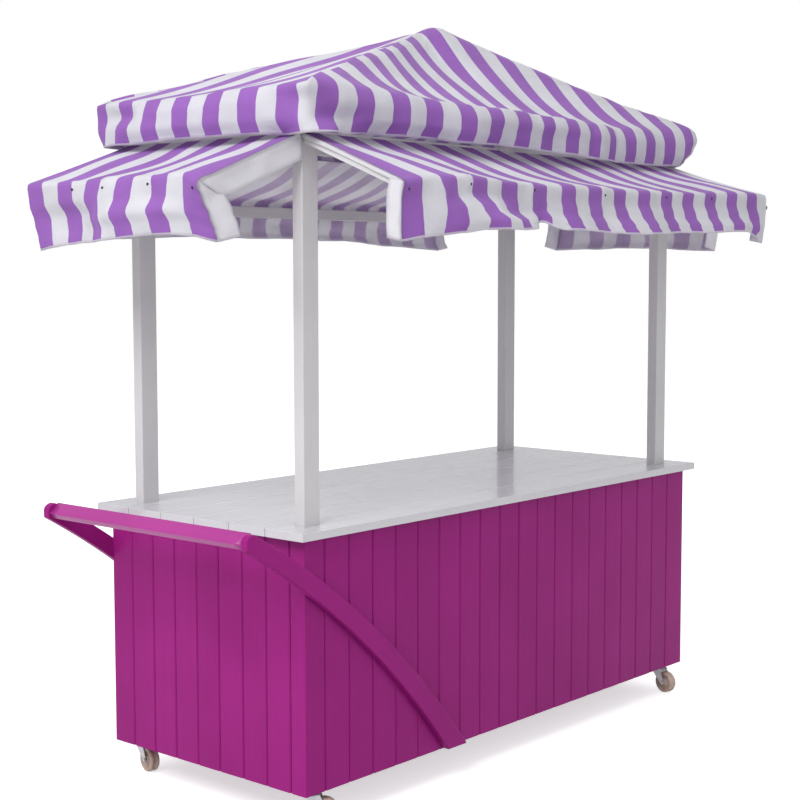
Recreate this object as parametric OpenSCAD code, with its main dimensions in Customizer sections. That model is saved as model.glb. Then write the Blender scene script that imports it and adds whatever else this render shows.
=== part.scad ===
// Market stall on castors: a closed boarded cabinet with a counter, a pull handle,
// four posts, a striped hip canopy and a striped awning on each of the four sides.
//
// The origin is on the ground under the middle of the stall. +X runs along its
// length, away from the pull handle. -Y is the front. +Z is up. Millimetres.

/* [Cabinet] */
// Length of the boarded cabinet
body_l = 2000; // [1600:10:2400]
// Width of the boarded cabinet
body_w = 832; // [680:2:1000]
// Height of the cabinet, from the castor plates to the underside of the counter
body_h = 727; // [600:1:880]
// Thickness of the tongue and groove boards
board_t = 12; // [9:1:16]
// Thickness of the bottom panel
floor_t = 18; // [12:1:24]

/* [Timber] */
// Thickness of the planed studwork in the frame, posts and rails
stud_t = 38; // [32:1:47]
// Width of the planed studwork in the frame and posts
stud_w = 63; // [50:1:80]
// Depth of the rails round the post tops
rail_h = 95; // [70:1:120]
// Height of the post tops above the ground
post_top = 2055; // [1900:5:2250]

/* [Counter] */
// Thickness of the counter boards
counter_t = 24; // [18:1:32]
// Overhang of the counter at each end
counter_end = 36; // [15:1:60]
// Overhang of the counter at the front and back
counter_side = 28; // [10:1:50]
// Gap between the counter and the posts that pass through it
post_gap = 1; // [0.5:0.5:3]

/* [Pull handle] */
// Thickness of each curved side rail
handle_t = 25; // [18:1:40]
// How far the handle reaches past the end of the cabinet
handle_reach = 241; // [200:1:340]
// Height of the lower corner of the rails' upper ends above the castor plates
handle_rise = 730; // [640:1:780]
// Distance across the rails' upper ends, from corner to corner
handle_end_w = 51; // [45:1:70]
// Height of the upright face at the rails' upper ends
handle_lip = 23; // [10:1:30]
// Width of the foot of each rail along the cabinet's bottom edge
handle_foot_w = 90; // [60:1:110]
// Distance from the cabinet's end to the rail's foot
handle_foot_x = 600; // [450:5:700]
// Width of the grip board between the rails
grip_w = 45; // [35:1:55]
// Thickness of the grip board
grip_t = 25; // [15:1:28]

/* [Canopy] */
// Thickness of the canopy and awning cloth, which stands in for one thin layer
cloth_t = 3; // [2:0.5:4]
// Overhang of the canopy's eaves past the posts at each end
canopy_end = 55; // [45:1:80]
// Overhang of the canopy's eaves past the posts at the front and back
canopy_side = 74; // [60:1:110]
// Height of the canopy's eaves above the post tops
canopy_lift = 17; // [10:1:30]
// Rise of the canopy from its eaves to its ridge
canopy_rise = 293; // [200:1:400]
// Half the length of the canopy's short ridge
ridge_a = 75; // [60:1:150]
// Half the width of the canopy's rounded ridge
ridge_b = 22; // [22:1:30]
// Drop of the canopy's hanging edge
canopy_drop = 133; // [90:1:150]
// How far the cloth sinks below the hips in the middle of the front and back
sag_side = 74; // [0:1:90]
// How far the cloth sinks below the hips in the middle of each end
sag_end = 26; // [0:1:50]
// How far the eaves bow out in the middle of the front and back
bow_side = 66; // [0:1:80]
// How far the eaves bow out in the middle of each end
bow_end = 16; // [0:1:30]
// Depth of the hip rafters
rafter_h = 50; // [38:1:60]

/* [Awnings] */
// Reach of the end awnings from the posts
reach_end = 368; // [250:2:450]
// Reach of the front and back awnings from the posts
reach_side = 378; // [280:1:480]
// Fall of each awning from the posts to its eave
awning_fall = 146; // [100:1:200]
// Drop of each awning's hanging edge
awning_drop = 157; // [100:1:220]
// How far a hanging edge bulges outwards
drop_bulge = 14; // [0:1:25]
// How far the foot of a hanging edge swings back in
drop_swing = 30; // [0:1:40]
// Height of the flaps along the sloping edges of the end awnings
flap_end = 57; // [30:1:70]
// Height of the hems along the sloping edges of the front and back awnings
flap_side = 14; // [10:1:30]
// Width of the strip that turns back at each end of an end awning's hanging edge
return_end = 80; // [40:1:120]
// Width of the strip that turns back at each end of the other hanging edges
return_side = 30; // [20:1:60]
// Section of the eave bars and the arms that carry them
bar = 38; // [28:1:45]

/* [Castors] */
// Diameter of the wheels
wheel_d = 75; // [60:1:80]
// Width of the wheels
wheel_w = 30; // [22:1:32]
// Height of a castor from the ground to the top of its plate
castor_h = 100; // [96:1:125]
// Distance that the wheel trails behind the swivel axis
trail = 32; // [26:1:38]
// Distance of the swivel axes from the cabinet's ends
castor_end = 75; // [60:1:120]
// Distance of the swivel axes from the cabinet's front and back
castor_side = 45; // [38:1:120]
// Side of the square fixing plate
plate_w = 62; // [56:1:72]
// Thickness of the fixing plate and the fork
plate_t = 3; // [2.5:0.5:4]
// Diameter of the axle
axle_d = 8; // [6:1:10]
// Diameter of the swivel pin
king_d = 10; // [8:1:12]

/* [Hidden] */
$fn = 48;

// Finishes
magenta = [0.60, 0.19, 0.50];
white = [0.86, 0.86, 0.87];
cloth = [0.68, 0.47, 0.78];
zinc = [0.70, 0.70, 0.72];
tyre = [0.74, 0.68, 0.63];

// Gap between cloth and what carries it
seat_gap = 0.4;
// Gap between the start of an awning's cloth and the post's face
cloth_start = 4;
// Gap between the top rails and the awnings below them
rail_gap = 8;
// Straight pieces in each curved edge of the handle rails
handle_n = 24;
// Straight pieces in each awning's hanging edge, and in the canopy's
drop_steps = 5;
canopy_steps = 3;
// Height of the rounding at the canopy's eaves, and where it starts on the slope
canopy_roll = 9;
canopy_shoulder = 0.96;
// Fractions of the way down the canopy where its cloth starts to sink and is lowest
sag_start = 0.06;
sag_low = 0.65;
// Share of the sag that is left at the eaves
sag_eave = 0.25;
// Fractions of the way down the canopy where its cloth bends
SLOPE_STEPS = [0, sag_start, 0.3, sag_low, canopy_shoulder];
// Width of flat cloth beside each rafter
rafter_side_gap = 6;
// Distance of each eave bar inside the cloth, and below it
bar_inset = 5;
bar_lower = 9;
// Tilt of the line across the handle rails' ends, and how far their edges bow out
handle_tilt = 57;
handle_bow_top = 59;
handle_bow_low = 53;
// Tilt of the grip board, and where its face starts from the rails' lower corner
grip_tilt = 40.5;
grip_in = 3;
grip_up = 15;

// Heights
floor_z = castor_h;
counter_z = castor_h + body_h;
counter_top_z = counter_z + counter_t;
rail_z = post_top - rail_h;
awning_z = rail_z - rail_gap;
awning_eave_z = awning_z - awning_fall;
canopy_z = post_top + canopy_lift;
ridge_z = canopy_z + canopy_rise;

// Outer faces of the posts, which stand inside the cabinet's frame
post_x = body_l / 2 - board_t - stud_t;
post_y = body_w / 2 - board_t - stud_t;

// Canopy eaves and the hip lines that run from them to the ridge
eave_x = post_x + canopy_end;
eave_y = post_y + canopy_side;
hip_angle = atan2(eave_y - ridge_b, eave_x - ridge_a);
hip_l = norm([eave_x - ridge_a, eave_y - ridge_b]);
side_slope = canopy_rise / (eave_y - ridge_b);
cloth_v = cloth_t * 1.3;
rafter_drop = stud_t / 2 * cos(hip_angle) * side_slope + cloth_v + seat_gap;
ridge_half_l = ridge_a - 5;
ridge_half_w = ridge_b + stud_t / 2 / cos(hip_angle) + 2;
strip_side = stud_t / 2 / sin(hip_angle) + rafter_side_gap;
strip_end = stud_t / 2 / cos(hip_angle) + rafter_side_gap;

// Corners of a handle rail in side view: its upper end, then its foot
tip_low = [-body_l / 2 - handle_reach, castor_h + handle_rise];
tip_lip = tip_low + [0, handle_lip];
tip_top = tip_low + handle_end_w * [cos(handle_tilt), sin(handle_tilt)];
foot_low = [-body_l / 2 + handle_foot_x, castor_h];
foot_top = foot_low + [handle_foot_w, 0];

// Castor parts, from the ground up
wheel_r = wheel_d / 2;
run_gap = 0.08;
crown_z = wheel_d + 5;
crown_t = 6;
race_gap = 2;
race_r = 22;
fork_in = wheel_w / 2 + 2;
tread_edge = 4;
hub_r = 13;
castor_x = body_l / 2 - castor_end;
castor_y = body_w / 2 - castor_side;
// Side of each castor in X and Y, and the way its wheel trails
castor_fl = [-1, -1, -50];
castor_fr = [1, -1, -100];
castor_bl = [-1, 1, -100];
castor_br = [1, 1, 140];
CASTORS = [castor_fl, castor_fr, castor_bl, castor_br];

// ---- Cabinet ----

// A block between two corners
module block(lo, hi) {
    translate(lo) cube(hi - lo);
}

// A rectangular ring of rails inside the boards, standing on height z
module stud_ring(z) {
    x = body_l / 2 - board_t;
    y = body_w / 2 - board_t;
    difference() {
        block([-x, -y, z], [x, y, z + stud_w]);
        block([-post_x, -post_y, z - 1], [post_x, post_y, z + stud_w + 1]);
    }
}

module bottom_panel() {
    x = body_l / 2 - board_t;
    y = body_w / 2 - board_t;
    color(magenta) block([-x, -y, floor_z], [x, y, floor_z + floor_t]);
}

module base_frame() {
    color(white) stud_ring(floor_z + floor_t);
}

module top_frame() {
    color(white) stud_ring(counter_z - stud_w);
}

// Front and back boards fit between the end boards
module side_wall(side) {
    x = body_l / 2 - board_t;
    color(magenta) scale_y(side) block([-x, body_w / 2 - board_t, floor_z], [x, body_w / 2, counter_z]);
}

module end_wall(side) {
    y = body_w / 2;
    color(magenta) scale_x(side) block([body_l / 2 - board_t, -y, floor_z], [body_l / 2, y, counter_z]);
}

// Puts the children on the side of the stall that the sign names
module scale_x(side) {
    mirror([side < 0 ? 1 : 0, 0, 0]) children();
}

module scale_y(side) {
    mirror([0, side < 0 ? 1 : 0, 0]) children();
}

module counter_top() {
    x = body_l / 2 + counter_end;
    y = body_w / 2 + counter_side;
    color(white) difference() {
        block([-x, -y, counter_z], [x, y, counter_top_z]);
        for (sx = [-1, 1], sy = [-1, 1])
            scale_x(sx) scale_y(sy)
                block([post_x - stud_w - post_gap, post_y - stud_t - post_gap, counter_z - 1],
                      [post_x + post_gap, post_y + post_gap, counter_top_z + 1]);
    }
}

module post(sx, sy) {
    color(white) scale_x(sx) scale_y(sy)
        block([post_x - stud_w, post_y - stud_t, floor_z + floor_t], [post_x, post_y, post_top]);
}

// ---- Top rails, rafters and ridge ----

module top_rail_side(side) {
    x = post_x + stud_t;
    color(white) scale_y(side) block([-x, post_y, rail_z], [x, post_y + stud_t, post_top]);
}

module top_rail_end(side) {
    color(white) scale_x(side) block([post_x, -post_y, rail_z], [post_x + stud_t, post_y, post_top]);
}

// Height of a rafter's top edge at distance d in from the corner of the eaves
function rafter_z(d) = canopy_z + canopy_rise * d / hip_l - rafter_drop;

// One hip rafter in its own upright plane: a level seat on the rail, then the slope
module rafter_side() {
    d_heel = (eave_y - post_y - stud_t) / sin(hip_angle) + stud_t / 2 / tan(hip_angle);
    d_seat = (post_top + rafter_h + rafter_drop - canopy_z) * hip_l / canopy_rise;
    d_head = hip_l + stud_t;
    polygon([
        [d_heel, post_top],
        [max(d_seat, d_heel + 1), post_top],
        [d_head, rafter_z(d_head) - rafter_h],
        [d_head, rafter_z(d_head)],
        [d_heel, rafter_z(d_heel)]
    ]);
}

module hip_rafters() {
    color(white) for (sx = [-1, 1], sy = [-1, 1])
        scale_x(sx) scale_y(sy) difference() {
            translate([eave_x, eave_y, 0]) rotate([0, 0, 180 + hip_angle]) rotate([90, 0, 0])
                linear_extrude(stud_t, center = true) rafter_side();
            block([-ridge_half_l, -eave_y, post_top], [ridge_half_l, eave_y, ridge_z]);
        }
}

module ridge_block() {
    top = ridge_z - cloth_v - seat_gap;
    shoulder = top - (ridge_half_w - ridge_b) * side_slope;
    bottom = rafter_z(hip_l) - rafter_h - 5;
    color(white) rotate([90, 0, 90]) linear_extrude(2 * ridge_half_l, center = true)
        polygon([[-ridge_half_w, bottom], [ridge_half_w, bottom], [ridge_half_w, shoulder],
                 [ridge_b, top], [-ridge_b, top], [-ridge_half_w, shoulder]]);
}

// ---- Canopy ----

// Share of the sag at fraction f of the way from the ridge to the eaves
function sag_share(f) =
    f <= sag_start ? 0 :
    f <= sag_low ? 1 - pow((sag_low - f) / (sag_low - sag_start), 2) :
    1 - (1 - sag_eave) * pow((f - sag_low) / (1 - sag_low), 2);

// Half the length of a side between the flat strips over its two rafters
function free_half(h, strip) = max(h - strip, h * 0.4);

// Points along one side at distance o from the middle, turned by the given angle
function side_points(h, o, z, strip, sink, out, turn) =
    let (m = free_half(h, strip))
    [for (p = [-h, -m, -m / 2, 0, m / 2, m])
        let (q = [p, -o - out * (1 - p * p / (h * h))])
        [q.x * cos(turn) - q.y * sin(turn), q.x * sin(turn) + q.y * cos(turn),
         z - sink * max(0, 1 - p * p / (m * m))]];

// A ring of four sides, each a little sunk and bowed out in its middle
function ring(x, y, z, sag, bow) = [for (k = [0 : 3]) each
    k % 2 == 0 ? side_points(x, y, z, strip_side, sag * sag_side, bow * bow_side, 90 * k) :
                 side_points(y, x, z, strip_end, sag * sag_end, bow * bow_end, 90 * k)];

// A ring on the hip lines, at fraction f of the way from the ridge to the eaves
function hip_ring(f, lower) = ring(ridge_a + (eave_x - ridge_a) * f, ridge_b + (eave_y - ridge_b) * f,
    ridge_z - canopy_rise * f - lower, sag_share(f), pow(f, 4));

// A ring in the hanging edge, at fraction f of its drop
function drop_ring(f, in) = ring(eave_x + drop_out(f) / 2 - in, eave_y + drop_out(f) / 2 - in,
    canopy_z - canopy_roll - (canopy_drop - canopy_roll) * f, sag_eave * (1 - f), 1);

// How far a hanging edge stands out from the eave, at fraction f of its drop
function drop_out(f) = drop_bulge * sin(180 * f) - drop_swing * f * f;

module upper_canopy() {
    outer = concat([for (f = SLOPE_STEPS) hip_ring(f, 0)],
        [for (i = [0 : canopy_steps]) drop_ring(i / canopy_steps, 0)]);
    inner = concat([for (f = SLOPE_STEPS) hip_ring(f, cloth_v)],
        [for (i = [0 : canopy_steps]) drop_ring(i / canopy_steps, cloth_t)]);
    rings = concat(outer, [for (i = [len(inner) - 1 : -1 : 0]) inner[i]]);
    n = len(rings[0]);
    hem = len(outer) * n;
    low = len(rings) * n - n;
    tops = [[0, 0, ridge_z], [0, 0, ridge_z - cloth_v]];
    color(cloth) polyhedron(
        points = concat([for (r = rings) each r], tops),
        faces = concat(
            [for (i = [0 : n - 1]) [low + n, (i + 1) % n, i]],
            [for (a = [0 : n : hem - n], i = [0 : n - 1]) let (j = (i + 1) % n)
                each [[a + i, a + j, a + n + j], [a + i, a + n + j, a + n + i]]],
            [for (a = [hem : n : low - n], i = [0 : n - 1]) let (j = (i + 1) % n)
                each [[a + i, a + j, a + n + i], [a + j, a + n + j, a + n + i]]],
            [for (i = [0 : n - 1]) [low + n + 1, low + i, low + (i + 1) % n]]
        )
    );
}

// ---- Awnings ----

// Height of an awning's upper face at distance u out from the posts
function awning_at(u, reach) = awning_z - awning_fall * u / reach;

// Points on the outer face of an awning: the slope, then the hanging edge
function awning_line(reach, in) =
    let (u0 = cloth_start, c = cloth_v)
    concat(
        [[u0, awning_at(u0, reach) - (in > 0 ? c : 0)],
         [reach - in, awning_at(reach - in, reach) - (in > 0 ? c : 0)]],
        [for (i = [1 : drop_steps]) let (f = i / drop_steps)
            [reach + drop_out(f) - in, awning_eave_z - awning_drop * f]]
    );

// Side view of the cloth, u outwards and z up
module awning_section(reach) {
    outer = awning_line(reach, 0);
    inner = awning_line(reach, cloth_t);
    polygon(concat(outer, [for (i = [len(inner) - 1 : -1 : 0]) inner[i]]));
}

// Side view of the flap that hangs from a sloping edge
module flap_section(reach, flap) {
    u0 = cloth_start;
    u1 = reach;
    polygon([[u0, awning_at(u0, reach) - cloth_v / 2], [u1, awning_at(u1, reach) - cloth_v / 2],
             [u1 - cloth_t, awning_at(u1, reach) - flap], [u0, awning_at(u0, reach) - flap]]);
}

// Side view of the strip that turns back from the end of a hanging edge
module return_section(reach, back) {
    polygon(concat(
        [for (i = [0 : drop_steps]) let (f = i / drop_steps)
            [reach + drop_out(f) - cloth_t / 2, awning_eave_z - cloth_v / 2 - (awning_drop - cloth_v) * f]],
        [[reach + drop_out(1) - back, awning_eave_z - awning_drop + cloth_v / 2],
         [reach - back, awning_eave_z - cloth_v / 2]]
    ));
}

// An awning in its own frame: u along +X from the posts' faces, half_w to each side
module awning(reach, half_w, flap, back) {
    w = half_w + seat_gap;
    color(cloth) rotate([90, 0, 0]) union() {
        linear_extrude(2 * (w + cloth_t), center = true) awning_section(reach);
        for (side = [-1, 1]) translate([0, 0, side * (w + cloth_t / 2)]) {
            linear_extrude(cloth_t, center = true) flap_section(reach, flap);
            linear_extrude(cloth_t, center = true) return_section(reach, back);
        }
    }
}

// Places an awning's frame on one of the four sides of the posts
module on_side(turn) {
    offset_out = turn % 180 == 0 ? post_x : post_y;
    rotate([0, 0, turn]) translate([offset_out, 0, 0]) children();
}

module awning_end(turn) {
    on_side(turn) awning(reach_end, post_y, flap_end, return_end);
}

module awning_side(turn) {
    on_side(turn) awning(reach_side, post_x, flap_side, return_side);
}

// Side view of an arm, from the post's face to the eave bar
module arm_section(reach) {
    u1 = reach - cloth_t - bar_inset - bar;
    lower = cloth_v + seat_gap;
    polygon([[0, awning_at(0, reach) - lower], [u1, awning_at(u1, reach) - lower],
             [u1, awning_at(u1, reach) - lower - bar], [0, awning_at(0, reach) - lower - bar]]);
}

module arms(reach, half_w) {
    color(white) rotate([90, 0, 0]) for (side = [-1, 1])
        translate([0, 0, side * (half_w - stud_t / 2)])
            linear_extrude(stud_t, center = true) arm_section(reach);
}

module eave_bar(reach, half_w) {
    u1 = reach - cloth_t - bar_inset;
    color(white) block([u1 - bar, -half_w, awning_eave_z - bar_lower - bar],
                       [u1, half_w, awning_eave_z - bar_lower]);
}

// ---- Pull handle ----

// Centre and radius of the circle through three points
function circle3(a, b, c) =
    let (d = 2 * (a.x * (b.y - c.y) + b.x * (c.y - a.y) + c.x * (a.y - b.y)),
         aa = a * a, bb = b * b, cc = c * c,
         o = [(aa * (b.y - c.y) + bb * (c.y - a.y) + cc * (a.y - b.y)) / d,
              (aa * (c.x - b.x) + bb * (a.x - c.x) + cc * (b.x - a.x)) / d])
    [o, norm(a - o)];

// Points of the circular arc from a to c that bows out by the given height
function bow(a, c, height, n) =
    let (m = (a + c) / 2 + height * [-(c - a).y, (c - a).x] / norm(c - a),
         k = circle3(a, m, c),
         o = k[0],
         t0 = atan2(a.y - o.y, a.x - o.x),
         t1 = atan2(c.y - o.y, c.x - o.x))
    [for (i = [0 : n]) o + k[1] * [cos(t0 + (t1 - t0) * i / n), sin(t0 + (t1 - t0) * i / n)]];

// Side view of a rail: two arcs, wider apart at its foot than at its upright end
module handle_profile() {
    top = bow(foot_top, tip_top, -handle_bow_top, handle_n);
    low = bow(tip_low, foot_low, handle_bow_low, handle_n);
    polygon(concat(top, [tip_lip], low));
}

module handle_rail(side) {
    color(magenta) scale_y(side) translate([0, body_w / 2 + handle_t, 0]) rotate([90, 0, 0])
        linear_extrude(handle_t) handle_profile();
}

module handle_grip() {
    color(magenta) rotate([90, 0, 0]) linear_extrude(body_w, center = true)
        translate(tip_low + [grip_in, grip_up]) rotate(grip_tilt)
            translate([0, -grip_t]) square([grip_w, grip_t]);
}

// ---- Castors ----

// A castor's own frame: the swivel axis is at its origin and the wheel trails along +X
module at_castor(c) {
    translate([c[0] * castor_x, c[1] * castor_y, 0]) rotate([0, 0, c[2]]) children();
}

module castor_plates() {
    race_z = crown_z + crown_t + race_gap;
    color(zinc) for (c = CASTORS) translate([c[0] * castor_x, c[1] * castor_y, 0]) difference() {
        union() {
            block([-plate_w / 2, -plate_w / 2, castor_h - plate_t], [plate_w / 2, plate_w / 2, castor_h]);
            translate([0, 0, race_z]) cylinder(h = castor_h - plate_t / 2 - race_z, r = race_r);
        }
        translate([0, 0, race_z - 1]) cylinder(h = castor_h, r = king_d / 2 + run_gap);
    }
}

// Outline of one fork leg: round the crown above and round the axle below
module leg_outline() {
    hull() {
        translate([0, crown_z + crown_t / 2]) square([2 * race_r, crown_t], center = true);
        translate([trail, wheel_r]) circle(r = axle_d, $fn = 32);
    }
}

module castor_fork(c) {
    color(zinc) at_castor(c) union() {
        translate([0, 0, crown_z]) cylinder(h = crown_t, r = race_r);
        block([-race_r * 0.7, -fork_in - plate_t, crown_z],
              [race_r * 0.7, fork_in + plate_t, crown_z + crown_t]);
        translate([0, 0, crown_z]) cylinder(h = castor_h - plate_t - 1 - crown_z, r = king_d / 2);
        for (side = [-1, 1]) translate([0, side * (fork_in + plate_t / 2), 0]) rotate([90, 0, 0])
            linear_extrude(plate_t, center = true) leg_outline();
        translate([trail, 0, wheel_r]) rotate([90, 0, 0])
            cylinder(h = 2 * (fork_in + plate_t + 4), r = axle_d / 2, center = true);
    }
}

// Half of the wheel's section, turned round the axle
module wheel_section() {
    bore = axle_d / 2 + run_gap;
    w = wheel_w / 2;
    polygon([[bore, -w], [hub_r, -w], [hub_r + 3, 4 - w], [wheel_r - 12, 4 - w], [wheel_r - 9, -w],
             [wheel_r - tread_edge, -w], [wheel_r, tread_edge - w], [wheel_r, w - tread_edge],
             [wheel_r - tread_edge, w], [wheel_r - 9, w], [wheel_r - 12, w - 4], [hub_r + 3, w - 4],
             [hub_r, w], [bore, w]]);
}

module castor_wheel(c) {
    color(tyre) at_castor(c) translate([trail, 0, wheel_r]) rotate([90, 0, 0])
        rotate_extrude() wheel_section();
}

bottom_panel();
base_frame();
top_frame();
side_wall(-1);  // front_wall
side_wall(1);  // back_wall
end_wall(-1);  // left_end_wall
end_wall(1);  // right_end_wall
counter_top();
post(-1, -1);  // post_front_left
post(1, -1);  // post_front_right
post(-1, 1);  // post_back_left
post(1, 1);  // post_back_right
top_rail_side(-1);  // top_rail_front
top_rail_side(1);  // top_rail_back
top_rail_end(-1);  // top_rail_left
top_rail_end(1);  // top_rail_right
hip_rafters();
ridge_block();
on_side(-90) arms(reach_side, post_x);  // awning_arms_front
on_side(90) arms(reach_side, post_x);  // awning_arms_back
on_side(180) arms(reach_end, post_y);  // awning_arms_left
on_side(0) arms(reach_end, post_y);  // awning_arms_right
on_side(-90) eave_bar(reach_side, post_x);  // eave_bar_front
on_side(90) eave_bar(reach_side, post_x);  // eave_bar_back
on_side(180) eave_bar(reach_end, post_y);  // eave_bar_left
on_side(0) eave_bar(reach_end, post_y);  // eave_bar_right
upper_canopy();
awning_side(-90);  // awning_front
awning_side(90);  // awning_back
awning_end(180);  // awning_left
awning_end(0);  // awning_right
handle_rail(-1);  // handle_rail_front
handle_rail(1);  // handle_rail_back
handle_grip();
castor_plates();
castor_fork(castor_fl);  // castor_fork_front_left
castor_fork(castor_fr);  // castor_fork_front_right
castor_fork(castor_bl);  // castor_fork_back_left
castor_fork(castor_br);  // castor_fork_back_right
castor_wheel(castor_fl);  // castor_wheel_front_left
castor_wheel(castor_fr);  // castor_wheel_front_right
castor_wheel(castor_bl);  // castor_wheel_back_left
castor_wheel(castor_br);  // castor_wheel_back_right
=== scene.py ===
"""Looks of a wooden market stall on castors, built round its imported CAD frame.

Metres throughout. The origin is on the ground under the middle of the stall, +X runs along
it away from the pull handle, -Y is its front and +Z is up.
"""

import logging
import math
from dataclasses import dataclass, field
from enum import Enum
from typing import Optional, Sequence

import bmesh
import bpy
import numpy as np
from mathutils import Matrix, Vector

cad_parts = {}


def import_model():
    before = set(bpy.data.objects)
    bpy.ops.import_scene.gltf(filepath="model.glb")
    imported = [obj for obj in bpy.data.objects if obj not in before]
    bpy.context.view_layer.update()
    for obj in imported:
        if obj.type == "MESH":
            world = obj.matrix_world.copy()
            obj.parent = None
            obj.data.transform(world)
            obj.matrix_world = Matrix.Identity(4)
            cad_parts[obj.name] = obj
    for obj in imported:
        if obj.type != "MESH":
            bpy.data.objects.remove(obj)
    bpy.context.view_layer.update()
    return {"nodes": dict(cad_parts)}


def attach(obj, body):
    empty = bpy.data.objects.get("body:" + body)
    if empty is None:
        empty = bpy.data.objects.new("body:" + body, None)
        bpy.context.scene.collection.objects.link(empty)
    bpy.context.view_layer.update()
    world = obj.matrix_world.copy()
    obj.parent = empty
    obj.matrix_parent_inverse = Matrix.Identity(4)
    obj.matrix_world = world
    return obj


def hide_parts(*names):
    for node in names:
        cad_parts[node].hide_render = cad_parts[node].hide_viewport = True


LOG = logging.getLogger("stall")
Array = np.ndarray
Color = tuple[float, float, float]
Socket = bpy.types.NodeSocket
Material = bpy.types.Material

# ---------------------------------------------------------------- sizes


class Side(Enum):
    """The four sides of the stall, each with its turn about Z in degrees from +X."""

    RIGHT = 0
    BACK = 90
    LEFT = 180
    FRONT = -90


@dataclass(frozen=True)
class Sizes:
    """Sizes that several sub-assemblies share, in metres.

    Attributes:
        body_l: Length of the cabinet.
        body_w: Width of the cabinet.
        floor_z: Height of the cabinet's underside.
        panel_t: Thickness of the bottom panel.
        counter_z: Height of the counter's underside.
        counter_t: Thickness of the counter.
        board_t: Thickness of the cabinet's boards.
        stud_t: Thickness of the planed timber.
        stud_w: Width of the planed timber.
        post_x: Outer faces of the posts at the ends.
        post_y: Outer faces of the posts at the front and back.
        post_top: Height of the post tops.
        rail_z: Height of the undersides of the rails round the posts.
        awning_z: Height where the awnings start.
        awning_fall: How far the awnings slope down.
        cloth_v: Upright thickness of the CAD's sloping cloth.
        seat_gap: Gap between the timber and the cloth on it.
        bar: Side of the square eave bars.
        eave: Corner of the canopy's eaves.
        eave_z: Height of the canopy's eaves.
        ridge: Half length and half width of the ridge.
        ridge_z: Height of the ridge.
        reach_end: Reach of the end awnings.
        reach_side: Reach of the front and back awnings.
        awning_low: How much lower the awnings' upper edges are than where the CAD's start.
        stripe: Width of a stripe.
        cloth_t: Thickness of the cloth.
    """

    body_l: float = 2.0
    body_w: float = 0.832
    floor_z: float = 0.1
    panel_t: float = 0.018
    counter_z: float = 0.827
    counter_t: float = 0.024
    board_t: float = 0.012
    stud_t: float = 0.038
    stud_w: float = 0.063
    post_x: float = 0.95
    post_y: float = 0.366
    post_top: float = 2.055
    rail_z: float = 1.96
    awning_z: float = 1.952
    awning_fall: float = 0.146
    cloth_v: float = 0.0039
    seat_gap: float = 0.0004
    bar: float = 0.038
    eave: tuple[float, float] = (1.005, 0.44)
    eave_z: float = 2.072
    ridge: tuple[float, float] = (0.075, 0.022)
    ridge_z: float = 2.365
    reach_end: float = 0.368
    reach_side: float = 0.378
    awning_low: float = 0.009
    stripe: float = 0.067
    cloth_t: float = 0.0012


SIZES = Sizes()

# ---------------------------------------------------------------- shapes


def ease(t: Array) -> Array:
    """Smooth step: 3t^2 - 2t^3, with t held between 0 and 1."""
    t = np.clip(t, 0.0, 1.0)
    return t * t * (3.0 - 2.0 * t)


def hump(x: Array, middle: float, width: float) -> Array:
    """Bell curve: e to the minus the square of (x - middle) / width."""
    return np.exp(-(((x - middle) / width) ** 2))


def ripple(a: Array, b: Array, wave: float, seed: int, count: int = 6) -> Array:
    """Smooth uneven waves over two parameters, about -1 to 1.

    It is the mean of sines of the same rough length, each in its own direction and phase.

    Args:
        a: First parameter, in metres.
        b: Second parameter, in metres.
        wave: Typical wavelength in metres.
        seed: Chooses the directions and phases.
        count: How many sines are summed.

    Returns:
        The height of the waves at each point.
    """
    rng = np.random.default_rng(seed)
    turn = rng.uniform(0, math.pi, count)
    phase = rng.uniform(0, 2 * math.pi, count)
    length = wave * rng.uniform(0.7, 1.5, count)
    along = a[..., None] * np.cos(turn) + b[..., None] * np.sin(turn)
    return np.sin(2 * math.pi * along / length + phase).sum(-1) / math.sqrt(count)


def stacked(*parts: Array) -> Array:
    """Arrays broadcast together and joined along a new last axis."""
    return np.stack(np.broadcast_arrays(*parts), -1)


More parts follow.
